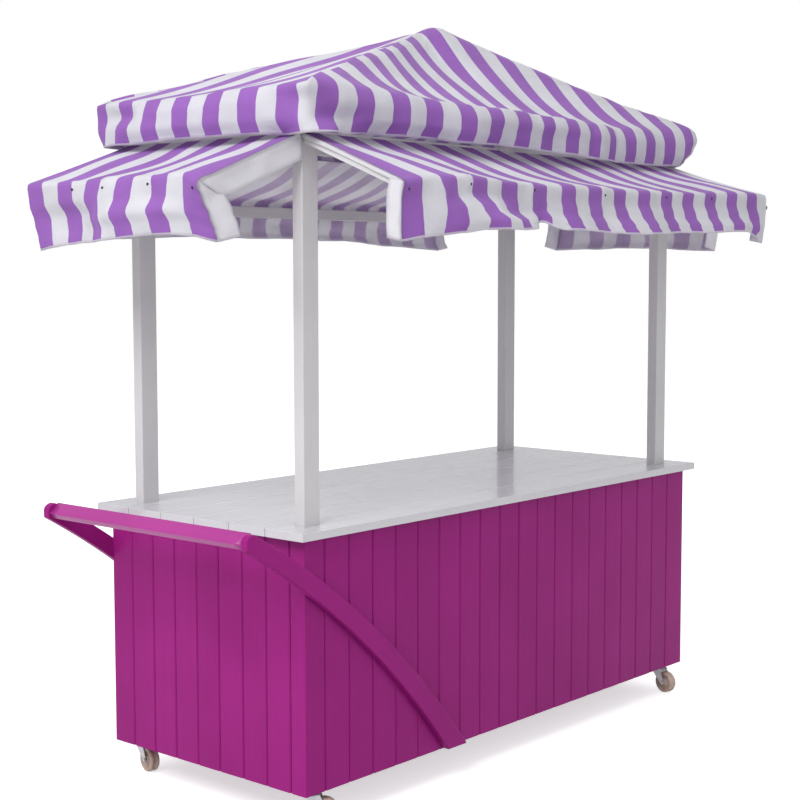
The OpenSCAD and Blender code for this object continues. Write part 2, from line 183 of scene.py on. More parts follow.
@dataclass
class Shape:
    """Points and faces of a mesh, with UV by face corner and one tone for all of it.

    Attributes:
        points: Vertices, n by 3.
        faces: Arrays of faces, each k by its number of corners.
        uvs: For each array of faces, k by corners by 2.
        tones: For each array of faces, a number from 0 to 1 that its finish varies with.
    """

    points: Array
    faces: list[Array]
    uvs: list[Array]
    tones: list[float]

    @staticmethod
    def of(points: Array, faces: list[Array], uv: Array, tone: float = 0.5) -> "Shape":
        """Shape whose UV is given by vertex.

        Args:
            points: Vertices, n by 3.
            faces: Arrays of faces.
            uv: UV of each vertex, n by 2.
            tone: The tone of the whole shape.

        Returns:
            The shape.
        """
        return Shape(points, faces, [uv[f] for f in faces], [tone] * len(faces))

    @staticmethod
    def joined(shapes: Sequence["Shape"]) -> "Shape":
        """One shape out of several: their points in a row and their faces renumbered.

        Args:
            shapes: The shapes.

        Returns:
            The joined shape.
        """
        starts = np.cumsum([0] + [len(s.points) for s in shapes])
        return Shape(
            np.concatenate([s.points for s in shapes]),
            [f + at for s, at in zip(shapes, starts) for f in s.faces],
            [u for s in shapes for u in s.uvs],
            [t for s in shapes for t in s.tones],
        )

    def volume(self) -> float:
        """Signed volume: the sum over fan triangles of a . (b x c) / 6."""
        total = 0.0
        for f in self.faces:
            p = self.points[f]
            for k in range(1, f.shape[1] - 1):
                total += np.einsum("ij,ij->", p[:, 0], np.cross(p[:, k], p[:, k + 1]))
        return total / 6.0

    def outward(self) -> "Shape":
        """The shape with its faces turned so that its volume is positive."""
        if self.volume() >= 0:
            return self
        faces, uvs = [f[:, ::-1] for f in self.faces], [u[:, ::-1] for u in self.uvs]
        return Shape(self.points, faces, uvs, self.tones)

    def moved(self, turn: float = 0.0, by: Sequence[float] = (0.0, 0.0, 0.0)) -> "Shape":
        """The shape turned about Z, then shifted.

        Args:
            turn: Angle in degrees.
            by: The shift.

        Returns:
            The moved shape.
        """
        c, s = math.cos(math.radians(turn)), math.sin(math.radians(turn))
        spin = np.array([[c, -s, 0.0], [s, c, 0.0], [0.0, 0.0, 1.0]])
        return Shape(self.points @ spin.T + np.array(by), self.faces, self.uvs, self.tones)

    def mirrored(self, x: bool = False, y: bool = False) -> "Shape":
        """The shape reflected in X, in Y or in both, with its faces kept outwards."""
        signs = np.array([-1.0 if x else 1.0, -1.0 if y else 1.0, 1.0])
        return Shape(self.points * signs, self.faces, self.uvs, self.tones).outward()


def grid_faces(rows: int, cols: int, wrap: bool = False) -> Array:
    """Quads of a grid of points numbered row by row.

    Args:
        rows: Rows of points.
        cols: Columns of points.
        wrap: Whether the last column joins the first.

    Returns:
        The quads, k by 4.
    """
    r = np.arange(rows - 1)[:, None]
    c = np.arange(cols if wrap else cols - 1)[None, :]
    d = (c + 1) % cols
    quads = np.stack(
        [r * cols + c + 0 * d, r * cols + d, (r + 1) * cols + d, (r + 1) * cols + c + 0 * d], -1
    )
    return quads.reshape(-1, 4)


def loft(rings: Array, uv: Array, tone: float = 0.5) -> Shape:
    """Closed solid through rings of points, with a flat cap at each end.

    Args:
        rings: m rings of n points, m by n by 3.
        uv: UV of each point, m by n by 2.
        tone: The tone of the shape.

    Returns:
        The solid, facing outwards.
    """
    m, n = rings.shape[:2]
    first = np.arange(n)[None, ::-1]
    last = ((m - 1) * n + np.arange(n))[None, :]
    faces = [grid_faces(m, n, wrap=True), first, last]
    return Shape.of(rings.reshape(-1, 3), faces, uv.reshape(-1, 2), tone).outward()


@dataclass(frozen=True)
class Axes:
    """Where a flat outline lies: its origin and the directions of its two axes and depth."""

    origin: tuple[float, float, float]
    a: tuple[float, float, float]
    b: tuple[float, float, float]

    @property
    def c(self) -> Array:
        """Direction of the depth, a x b."""
        return np.cross(self.a, self.b)

    def place(self, a: Array, b: Array, c: Array) -> Array:
        """Points at origin + a, b and c along the three axes."""
        flat = stacked(a, b, c)
        return flat @ np.array([self.a, self.b, self.c]) + np.array(self.origin)


SIDE_VIEW = Axes((0, 0, 0), (1, 0, 0), (0, 0, 1))
END_VIEW = Axes((0, 0, 0), (0, 1, 0), (0, 0, 1))
PLAN = Axes((0, 0, 0), (1, 0, 0), (0, 1, 0))


def prism(outline: Array, depth: tuple[float, float], axes: Axes, tone: float = 0.5) -> Shape:
    """Solid of a flat outline carried straight along its depth.

    Its UV is the first coordinate, and the second plus the depth, so grain runs along the
    outline's first axis on every face.

    Args:
        outline: Corners, n by 2.
        depth: Start and end along the depth.
        axes: Where the outline lies.
        tone: The tone of the shape.

    Returns:
        The solid, facing outwards.
    """
    c = np.array(depth)[:, None]
    rings = axes.place(outline[None, :, 0], outline[None, :, 1], c)
    uv = stacked(outline[None, :, 0], outline[None, :, 1] + c)
    return loft(rings, uv, tone)


def beam(lo: Sequence[float], hi: Sequence[float], along: int, tone: float = 0.5) -> Shape:
    """Straight timber between two corners, with its grain along one axis.

    Args:
        lo: Lowest corner.
        hi: Highest corner.
        along: 0, 1 or 2 for X, Y or Z.
        tone: The tone of the shape.

    Returns:
        The solid, facing outwards.
    """
    other, third = [k for k in range(3) if k != along]
    unit = np.eye(3)
    axes = Axes((0, 0, 0), tuple(unit[along]), tuple(unit[other]))
    flip = float(axes.c[third])
    outline = np.array(
        [[lo[along], lo[other]], [hi[along], lo[other]], [hi[along], hi[other]], [lo[along], hi[other]]]
    )
    return prism(outline, (flip * lo[third], flip * hi[third]), axes, tone)


def turned(profile: Array, steps: int, axes: Axes, tone: float = 0.5) -> Shape:
    """Solid of a closed section turned about the depth axis.

    A point (r, c) of the section goes round the circle of radius r at depth c.

    Args:
        profile: Closed section, n by 2, as radius and depth.
        steps: Points round the circle.
        axes: Its depth is the axle.
        tone: The tone of the shape.

    Returns:
        The solid, facing outwards.
    """
    angle = np.linspace(0, 2 * math.pi, steps, endpoint=False)[:, None]
    r, c = profile[None, :, 0], profile[None, :, 1]
    points = axes.place(r * np.cos(angle), r * np.sin(angle), c + 0 * angle)
    n = profile.shape[0]
    ring = np.arange(steps)[:, None] * n
    nxt = ((np.arange(steps) + 1) % steps)[:, None] * n
    k, j = np.arange(n)[None, :], (np.arange(n)[None, :] + 1) % n
    quads = np.stack([ring + k, nxt + k, nxt + j, ring + j], -1).reshape(-1, 4)
    uv = stacked(angle * r, c).reshape(-1, 2)
    return Shape.of(points.reshape(-1, 3), [quads], uv, tone).outward()


def disc(
    radius: float, depth: tuple[float, float], axes: Axes, steps: int = 32, tone: float = 0.5
) -> Shape:
    """Solid round bar or disc about the depth axis.

    Args:
        radius: Its radius.
        depth: Start and end along the depth.
        axes: Its depth is the axis.
        steps: Points round the circle; 6 makes a hexagon.
        tone: The tone of the shape.

    Returns:
        The solid, facing outwards.
    """
    angle = np.linspace(0, 2 * math.pi, steps, endpoint=False)
    outline = radius * np.stack([np.cos(angle), np.sin(angle)], -1)
    return prism(outline, depth, axes, tone)


def rounded(half_a: float, half_b: float, radius: float, steps: int = 5) -> Array:
    """Outline of a rectangle about the origin with round corners.

    Args:
        half_a: Half of its length.
        half_b: Half of its width.
        radius: Radius of the corners.
        steps: Points on each corner.

    Returns:
        The outline, anticlockwise, n by 2.
    """
    angle = np.linspace(0, math.pi / 2, steps)
    corner = radius * np.stack([np.cos(angle), np.sin(angle)], -1)
    spots = [(1, 1, 0), (-1, 1, 1), (-1, -1, 2), (1, -1, 3)]
    turn = np.array([[0.0, 1.0], [-1.0, 0.0]])
    return np.concatenate(
        [
            corner @ np.linalg.matrix_power(turn, k)
            + np.array([sx * (half_a - radius), sy * (half_b - radius)])
            for sx, sy, k in spots
        ]
    )


# ---------------------------------------------------------------- finishes


class Graph:
    """A material's node tree with one Principled surface, and short ways to add to it."""

    def __init__(self, name: str) -> None:
        """Starts a material.

        Args:
            name: The material's name.
        """
        self.material = bpy.data.materials.new(name)
        self.material.use_nodes = True
        self.tree = self.material.node_tree
        self.tree.nodes.clear()
        self.out = self.add("ShaderNodeOutputMaterial")
        self.surface = self.add("ShaderNodeBsdfPrincipled")
        self.link(self.surface.outputs[0], self.out.inputs["Surface"])

    def add(self, kind: str, **settings: object) -> bpy.types.Node:
        """Adds a node.

        Args:
            kind: Blender's name of the node type.
            settings: Node settings; one that names an input socket sets its value.

        Returns:
            The node.
        """
        node = self.tree.nodes.new(kind)
        for key, value in settings.items():
            socket = key.replace("_", " ")
            if hasattr(node, key):
                setattr(node, key, value)
            else:
                node.inputs[socket].default_value = value
        return node

    def link(self, start: Socket, end: Socket) -> None:
        """Links an output to an input."""
        self.tree.links.new(start, end)

    def paint(self, **values: object) -> None:
        """Sets the surface's inputs.

        Args:
            values: A number, colour or output for each input that is named.
        """
        for key, value in values.items():
            socket = self.surface.inputs[key.replace("_", " ")]
            if isinstance(value, Socket):
                self.link(value, socket)
            else:
                socket.default_value = value

    def math(self, operation: str, *values: object) -> Socket:
        """Adds a math node.

        Args:
            operation: Blender's name of the operation.
            values: Its inputs in order, each a number or an output.

        Returns:
            Its result.
        """
        node = self.add("ShaderNodeMath", operation=operation)
        for k, value in enumerate(values):
            if isinstance(value, Socket):
                self.link(value, node.inputs[k])
            else:
                node.inputs[k].default_value = value
        return node.outputs[0]

    def stretched(self, source: str, scale: tuple[float, float, float], tone: float = 0.0) -> Socket:
        """Coordinates scaled along each axis, and shifted by the piece's tone.

        Args:
            source: "UV" or "Object".
            scale: Scale along each axis.
            tone: How far a tone of 1 shifts them along the third axis.

        Returns:
            The vector output.
        """
        coords = self.add("ShaderNodeTexCoord").outputs[source]
        mapping = self.add("ShaderNodeMapping", Scale=scale)
        self.link(coords, mapping.inputs["Vector"])
        if not tone:
            return mapping.outputs[0]
        spread = self.add("ShaderNodeCombineXYZ")
        self.link(self.math("MULTIPLY", self.tone(), tone), spread.inputs["Z"])
        shifted = self.add("ShaderNodeVectorMath", operation="ADD")
        self.link(mapping.outputs[0], shifted.inputs[0])
        self.link(spread.outputs[0], shifted.inputs[1])
        return shifted.outputs[0]

    def tone(self) -> Socket:
        """The tone that the mesh carries for each board or layer."""
        return self.add("ShaderNodeAttribute", attribute_name="tone").outputs["Fac"]

    def noise(self, vector: Socket, scale: float, detail: float = 3.0) -> Socket:
        """Adds a noise texture.

        Args:
            vector: Where it is read.
            scale: Its scale.
            detail: How many finer layers it has.

        Returns:
            Its value, 0 to 1.
        """
        node = self.add("ShaderNodeTexNoise", Scale=scale, Detail=detail)
        self.link(vector, node.inputs["Vector"])
        return node.outputs[0]

    def span(self, value: Socket, low: float, high: float, to_low: float, to_high: float) -> Socket:
        """Maps a range of values evenly to another, and holds them within it.

        Args:
            value: The value.
            low: Start of its range.
            high: End of its range.
            to_low: What the start becomes.
            to_high: What the end becomes.

        Returns:
            The mapped value.
        """
        node = self.add("ShaderNodeMapRange")
        self.link(value, node.inputs["Value"])
        limits = {"From Min": low, "From Max": high, "To Min": to_low, "To Max": to_high}
        for name, number in limits.items():
            node.inputs[name].default_value = number
        return node.outputs["Result"]

    def blend(self, factor: Socket, low: object, high: object, mode: str = "MIX") -> Socket:
        """Mixes two colours by a factor.

        Args:
            factor: Share of the second colour.
            low: First colour, linear, or an output.
            high: Second colour, linear, or an output.
            mode: Blender's name of the way they mix.

        Returns:
            The mixed colour.
        """
        node = self.add("ShaderNodeMix", data_type="RGBA", blend_type=mode)
        self.link(factor, node.inputs[0])
        for socket, value in ((node.inputs[6], low), (node.inputs[7], high)):
            if isinstance(value, Socket):
                self.link(value, socket)
            else:
                socket.default_value = (*value, 1.0)
        return node.outputs[2]

    def bump(self, height: Socket, distance: float, below: Optional[Socket] = None) -> Socket:
        """Adds relief.

        Args:
            height: Its height, 0 to 1.
            distance: Its depth in metres.
            below: The normal of the relief that it lies on.

        Returns:
            The normal.
        """
        node = self.add("ShaderNodeBump", Strength=1.0, Distance=distance)
        self.link(height, node.inputs["Height"])
        if below is not None:
            self.link(below, node.inputs["Normal"])
        return node.outputs[0]


def linear(color: Color, share: float = 1.0) -> Color:
    """Linear values of an sRGB colour.

    Args:
        color: The colour, 0 to 255.
        share: What its values are multiplied by first, to darken it.

    Returns:
        The linear colour, 0 to 1.
    """
    c = share * np.array(color) / 255.0
    return tuple(float(v) for v in np.where(c <= 0.04045, c / 12.92, ((c + 0.055) / 1.055) ** 2.4))


@dataclass(frozen=True)
class PaintedTimber:
    """Brushed paint over planed softwood, with the grain just showing through.

    Attributes:
        name: The material's name.
        color: The paint, sRGB from 0 to 255.
        shade: The paint where it is thin or in the grain, sRGB.
        rough: Roughness of the paint.
        coat: Weight of the clear gloss on top.
        grain: Depth of the grain in metres.
        shine: Strength of the paint's own reflection.
        source: Coordinates to use: UV on built pieces, Object on CAD nodes.
    """

    name: str
    color: Color
    shade: Color
    rough: float = 0.42
    coat: float = 0.0
    grain: float = 0.0003
    shine: float = 0.5
    source: str = "UV"

    def make(self) -> Material:
        """Builds the material: streaky grain, brush strokes, faint blotches and board tones."""
        g = Graph(self.name)
        streak = g.noise(g.stretched(self.source, (3.0, 95.0, 1.0), 31.0), 1.0, 5.0)
        brush = g.noise(g.stretched(self.source, (9.0, 420.0, 1.0), 17.0), 1.0, 2.0)
        blotch = g.noise(g.stretched("Object", (1.0, 1.0, 1.0)), 3.4, 4.0)
        thin, patchy = g.span(streak, 0.35, 0.75, 0.0, 0.55), g.span(blotch, 0.35, 0.7, 0.0, 0.5)
        worn = g.math("MULTIPLY_ADD", thin, 0.45, patchy)
        toned = g.math("MULTIPLY_ADD", g.tone(), 0.35, worn)
        color = g.blend(g.math("MULTIPLY", toned, 0.75), linear(self.color), linear(self.shade))
        rough = g.span(brush, 0.3, 0.7, self.rough - 0.05, self.rough + 0.06)
        relief = g.bump(brush, self.grain * 0.25, g.bump(streak, self.grain))
        g.paint(Base_Color=color, Roughness=rough, Normal=relief)
        g.paint(Coat_Weight=self.coat, Coat_Roughness=0.08, Specular_IOR_Level=self.shine)
        return g.material


@dataclass(frozen=True)
class StripedCloth:
    """Woven cloth in equal stripes, with a pale sewn hem.

    Across the cloth u is metres from the first stripe's edge, and v is metres from the hem.

    Attributes:
        name: The material's name.
        dark: The coloured stripes, sRGB.
        pale: The white stripes, sRGB.
        stripe: Width of a stripe in metres.
        hem: Width of the pale hem in metres.
        through: Share of the light that comes through the cloth.
    """

    name: str
    dark: Color
    pale: Color
    stripe: float = 0.067
    hem: float = 0.006
    through: float = 0.3

    def make(self) -> Material:
        """Builds the material: stripes and hem from UV, weave relief and soft creases."""
        g = Graph(self.name)
        parts = g.add("ShaderNodeSeparateXYZ")
        coords = g.add("ShaderNodeTexCoord").outputs["UV"]
        g.link(coords, parts.inputs[0])
        u, v = parts.outputs["X"], parts.outputs["Y"]
        fray = g.noise(g.stretched("UV", (1.0, 1.0, 1.0)), 260.0, 1.0)
        wobble = g.math("MULTIPLY_ADD", g.math("SUBTRACT", fray, 0.5), 0.0012, u)
        phase = g.math("PINGPONG", g.math("DIVIDE", g.math("ADD", wobble, self.stripe / 2), self.stripe), 1.0)
        colored = g.span(phase, 0.497, 0.503, 0.0, 1.0)
        even = g.noise(g.stretched("UV", (1.0, 1.0, 1.0)), 7.0, 4.0)
        dark = g.blend(g.span(even, 0.3, 0.7, 0.0, 0.35), linear(self.dark), linear(self.dark, 0.8))
        pale = g.blend(g.span(even, 0.3, 0.7, 0.0, 0.5), linear(self.pale), linear(self.pale, 0.92))
        color = g.blend(colored, pale, dark)
        hem = g.span(v, self.hem, self.hem + 0.0008, 1.0, 0.0)
        color = g.blend(g.math("MULTIPLY", hem, 0.85), color, linear((232, 228, 236)))
        g.paint(Base_Color=color, Roughness=0.78, Sheen_Weight=0.15, Sheen_Roughness=0.5)
        threads = []
        for way in "XY":
            wave = g.add("ShaderNodeTexWave", bands_direction=way, Scale=170.0, Distortion=0.6, Detail=1.0)
            g.link(coords, wave.inputs["Vector"])
            threads.append(wave.outputs["Fac"])
        weave = g.math("ADD", *threads)
        stitched = g.span(g.math("SINE", g.math("MULTIPLY", u, 1250.0)), -0.2, 0.2, 0.0, 1.0)
        stitch = g.math("MULTIPLY", g.math("COMPARE", v, 0.018, 0.0012), stitched)
        crease = g.noise(g.stretched("UV", (1.0, 1.0, 1.0)), 16.0, 5.0)
        relief = g.bump(crease, 0.004)
        relief = g.bump(weave, 0.00012, relief)
        relief = g.bump(stitch, 0.0006, relief)
        g.paint(Normal=relief)
        glow = g.add("ShaderNodeBsdfTranslucent")
        g.link(color, glow.inputs["Color"])
        g.link(relief, glow.inputs["Normal"])
        mix = g.add("ShaderNodeMixShader")
        mix.inputs[0].default_value = self.through
        g.link(g.surface.outputs[0], mix.inputs[1])
        g.link(glow.outputs[0], mix.inputs[2])
        g.link(mix.outputs[0], g.out.inputs["Surface"])
        return g.material


@dataclass(frozen=True)
class Metal:
    """Plated or painted steel with a faint mottle.

    Attributes:
        name: The material's name.
        color: Its colour, sRGB.
        rough: Its roughness.
        metallic: 1 for bare or plated metal, 0 for paint.
    """

    name: str
    color: Color
    rough: float = 0.34
    metallic: float = 1.0

    def make(self) -> Material:
        """Builds the material: spangle in colour and roughness, and fine pitting."""
        g = Graph(self.name)
        at = g.stretched("Object", (1.0, 1.0, 1.0))
        spangle = g.noise(at, 140.0, 3.0)
        pits = g.noise(at, 900.0, 2.0)
        color = g.blend(g.span(spangle, 0.3, 0.7, 0.0, 0.5), linear(self.color), linear(self.color, 0.78))
        rough = g.span(spangle, 0.3, 0.7, self.rough - 0.06, self.rough + 0.1)
        g.paint(Base_Color=color, Roughness=rough, Metallic=self.metallic, Normal=g.bump(pits, 0.00006))
        return g.material


@dataclass(frozen=True)
class MouldedWheel:
    """Dull moulded plastic, dusty from the ground.

    Attributes:
        name: The material's name.
        color: The plastic, sRGB.
        dust: The dust on it, sRGB.
    """

    name: str
    color: Color
    dust: Color

    def make(self) -> Material:
        """Builds the material: dust in patches, scuffs and a matt surface."""
        g = Graph(self.name)
        at = g.stretched("Object", (1.0, 1.0, 1.0))
        patch = g.noise(at, 60.0, 5.0)
        scuff = g.noise(at, 420.0, 3.0)
        color = g.blend(g.span(patch, 0.4, 0.65, 0.0, 0.7), linear(self.color), linear(self.dust))
        rough = g.span(patch, 0.3, 0.7, 0.5, 0.8)
        g.paint(Base_Color=color, Roughness=rough, Normal=g.bump(scuff, 0.0002))
        return g.material


Finish = PaintedTimber | StripedCloth | Metal | MouldedWheel


def made(finish: Finish) -> Material:
    """A field of Finishes that makes the given finish's material."""
    return field(default_factory=finish.make)


@dataclass
class Finishes:
    """The finishes of the stall, made once and shared by its pieces."""

    magenta: Material = made(PaintedTimber(
        "magenta_paint", (155, 32, 125), (132, 21, 104), rough=0.38, grain=0.00035, shine=0.1))
    # The grip is the same magenta paint as the rails, given lighter colours as painted light for its face
    # that turns up towards the light and the sky.
    magenta_grip_painted_light: Material = made(PaintedTimber(
        "magenta_paint_grip_painted_light", (172, 46, 142), (150, 34, 122), rough=0.36, grain=0.00035, shine=0.55))
    magenta_plain: Material = made(PaintedTimber(
        "magenta_paint_inside", (150, 36, 124), (128, 26, 102), rough=0.5, shine=0.16, source="Object"))
    white: Material = made(PaintedTimber(
        "white_paint", (207, 205, 206), (190, 188, 191), rough=0.38, coat=0.05, grain=0.00025))
    white_gloss: Material = made(PaintedTimber(
        "counter_gloss_white", (203, 201, 206), (188, 185, 192), rough=0.2, coat=0.6, grain=0.00018))
    white_plain: Material = made(PaintedTimber(
        "white_paint_inside", (214, 213, 216), (196, 194, 199), rough=0.45, shine=0.4, source="Object"))
    cloth: Material = made(StripedCloth("striped_cloth", (165, 106, 198), (226, 225, 231), through=0.3))
    cloth_inside: Material = made(StripedCloth(
        "striped_cloth_reverse", (222, 213, 228), (240, 238, 242), through=0.4))
    zinc: Material = made(Metal("zinc_plate", (186, 186, 190), 0.32))
    dark: Material = made(Metal("dark_steel", (58, 54, 64), 0.45, 0.6))
    wheel: Material = made(MouldedWheel("moulded_wheel", (196, 172, 160), (150, 128, 116)))


# ---------------------------------------------------------------- pieces


@dataclass
class Piece:
    """How a shape is put into the scene.

    Attributes:
        name: Name of the object.
        slot: The record's material slot; not used.
        body: The CAD body that it moves with.
        replaces: The CAD nodes that it stands for.
        bevel: Width of its eased edges in metres, or 0.
        thick: Thickness of a sheet in metres, or 0 for a solid.
        smooth: Whether its faces are shaded smooth.
        weld: Whether doubled points are merged.
    """

    name: str
    slot: str
    body: str = "stall"
    replaces: tuple[str, ...] = ()
    bevel: float = 0.0
    thick: float = 0.0
    smooth: bool = True
    weld: bool = False

    def put(
        self, shape: Shape, material: Material, inside: Optional[Material] = None
    ) -> bpy.types.Object:
        """Makes the object, with its UV, tones, material, modifiers and body.

        Args:
            shape: The mesh's points and faces.
            material: Its finish.
            inside: The finish of a sheet's inner face, if it has its own.

        Returns:
            The object.
        """
        mesh = bpy.data.meshes.new(self.name)
        faces = [face for block in shape.faces for face in block.tolist()]
        mesh.from_pydata(shape.points.tolist(), [], faces)
        layer = mesh.uv_layers.new(name="UVMap")
        flat = np.concatenate([u.reshape(-1, 2) for u in shape.uvs]).astype(np.float32)
        layer.data.foreach_set("uv", flat.ravel())
        tone = mesh.attributes.new("tone", "FLOAT", "FACE")
        values = [np.full(len(f), t, np.float32) for f, t in zip(shape.faces, shape.tones)]
        tone.data.foreach_set("value", np.concatenate(values))
        if self.weld:
            work = bmesh.new()
            work.from_mesh(mesh)
            bmesh.ops.remove_doubles(work, verts=work.verts, dist=2e-5)
            bmesh.ops.dissolve_degenerate(work, dist=1e-6, edges=work.edges)
            work.to_mesh(mesh)
            work.free()
        mesh.polygons.foreach_set("use_smooth", np.full(len(mesh.polygons), self.smooth))
        mesh.validate()
        mesh.update()
        obj = bpy.data.objects.new(self.name, mesh)
        bpy.context.scene.collection.objects.link(obj)
        mesh.materials.append(material)
        if self.thick:
            solid = obj.modifiers.new("thickness", "SOLIDIFY")
            solid.thickness = self.thick
            solid.offset = -1.0
            solid.use_even_offset = True
            solid.thickness_clamp = 0.0
            if inside is not None:
                mesh.materials.append(inside)
                solid.material_offset = 1
        if self.bevel:
            edge = obj.modifiers.new("eased edges", "BEVEL")
            edge.width = self.bevel
            edge.segments = 3
            edge.limit_method = "ANGLE"
            edge.angle_limit = math.radians(28)
            edge.harden_normals = True
        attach(obj, self.body)
        if self.replaces:
            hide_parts(*self.replaces)
        counts = len(mesh.vertices), len(mesh.polygons)
        LOG.info("%s: %d points, %d faces, on %s", self.name, *counts, self.body)
        return obj


@dataclass
class Assembly:
    """A sub-assembly of the stall.

    Attributes:
        size: The shared sizes.
        finishes: The shared finishes.
    """

    size: Sizes
    finishes: Finishes


# ---------------------------------------------------------------- cabinet


@dataclass
class BoardedCabinet(Assembly):
    """The closed cabinet: tongue and groove boards on all four sides.

    Attributes:
        groove: Half the width of a V joint.
        depth: Depth of a V joint.
        slot: Half the width of the dark line at the bottom of a joint.
        end_joints: Joints of the two end walls, in Y.
        front_start: Where the first joint of the long walls is, in X.
        pitch: Cover width of a board on the long walls.
        rim: Width of the easing at a wall's two ends.
        behind: Gap between the boards' backs and the inner frame.
        tongue: Depths of the front and back of the tongues that close the joints.
        inset: How much shorter than the cabinet the half long and the half end walls are.
    """

    groove: float = 0.0042
    depth: float = 0.0034
    slot: float = 0.0009
    end_joints: tuple[float, ...] = (0.325, 0.227, 0.130, 0.032, -0.063, -0.163, -0.261, -0.356)
    front_start: float = -0.92
    pitch: float = 0.1005
    rim: float = 0.0002
    behind: float = 0.0005
    tongue: tuple[float, float] = (0.007, 0.0115)
    inset: tuple[float, float] = (0.0002, 0.0012)

    def wall(self, half: float, joints: Array, seed: int) -> Shape:
        """One wall of boards in its own frame, outer face at depth 0.

        The section is a line along the wall that drops into a V at each joint, with a narrow
        slot at the bottom, closed behind by the flat back of the boards. It is carried upwards.

        Args:
            half: Half of its length.
            joints: Places of the joints.
            seed: Chooses the boards' small differences.

        Returns:
            The wall: a along X, depth along Y (outwards negative), upwards Z.
        """
        rng = np.random.default_rng(seed)
        lo, hi, rim = -half, half, self.rim
        edges = np.concatenate([[lo], joints, [hi]])
        boards = []
        for start, end in zip(edges[:-1], edges[1:]):
            proud = rng.uniform(-0.0003, 0.0003)
            bow = rng.uniform(-0.0002, 0.0004)
            inner = start > lo
            outer = end < hi
            cuts = [start + (self.slot if inner else 0.0), start + (self.groove if inner else rim)]
            cuts += [start + (end - start) * f for f in (0.3, 0.5, 0.7)]
            cuts += [end - (self.groove if outer else rim), end - (self.slot if outer else 0.0)]
            face = [self.depth if inner else 0.8 * rim, proud]
            face += [proud - bow, proud - 1.3 * bow, proud - bow]
            face += [proud, self.depth if outer else 0.8 * rim]
            back = self.size.board_t - self.behind
            section = np.array(list(zip(cuts, face)) + [(cuts[-1], back), (cuts[0], back)])
            boards.append(self.board(section, rng.uniform(0, 1)))
        near, far = self.tongue
        tongue = np.array([[lo, near], [hi, near], [hi, far], [lo, far]])
        boards.append(self.board(tongue, 0.9))
        return Shape.joined(boards)

    def board(self, section: Array, tone: float) -> Shape:
        """One board: its section carried from the bottom of the cabinet to the counter.

        Args:
            section: The section, n by 2, along the wall and inwards.
            tone: Its tone, which also shifts its grain.

        Returns:
            The solid.
        """
        heights = np.array([self.size.floor_z, self.size.counter_z])[:, None]
        rings = PLAN.place(section[None, :, 0], section[None, :, 1], heights)
        around = section[None, :, 0] + section[None, :, 1]
        uv = stacked(heights + 3.0 * tone, around)
        return loft(rings, uv, tone)

    def build(self) -> None:
        """Builds and dresses the four walls."""
        s = self.size
        half_l, half_w = s.body_l / 2, s.body_w / 2
        ends = np.sort(np.array(self.end_joints))
        long_joints = np.arange(self.front_start, half_l - 0.03, self.pitch)
        length, width = half_l - self.inset[0], half_w - self.inset[1]
        walls = {
            "front": self.wall(length, long_joints, 3).moved(0, (0, -half_w, 0)),
            "back": self.wall(length, long_joints, 4).moved(180, (0, half_w, 0)),
            "left_end": self.wall(width, -ends[::-1], 5).moved(-90, (-half_l, 0, 0)),
            "right_end": self.wall(width, ends, 6).moved(90, (half_l, 0, 0)),
        }
        for name, shape in walls.items():
            piece = Piece(f"{name}_boards", "magenta_paint", replaces=(f"{name}_wall",), smooth=False)
            piece.put(shape.outward(), self.finishes.magenta)


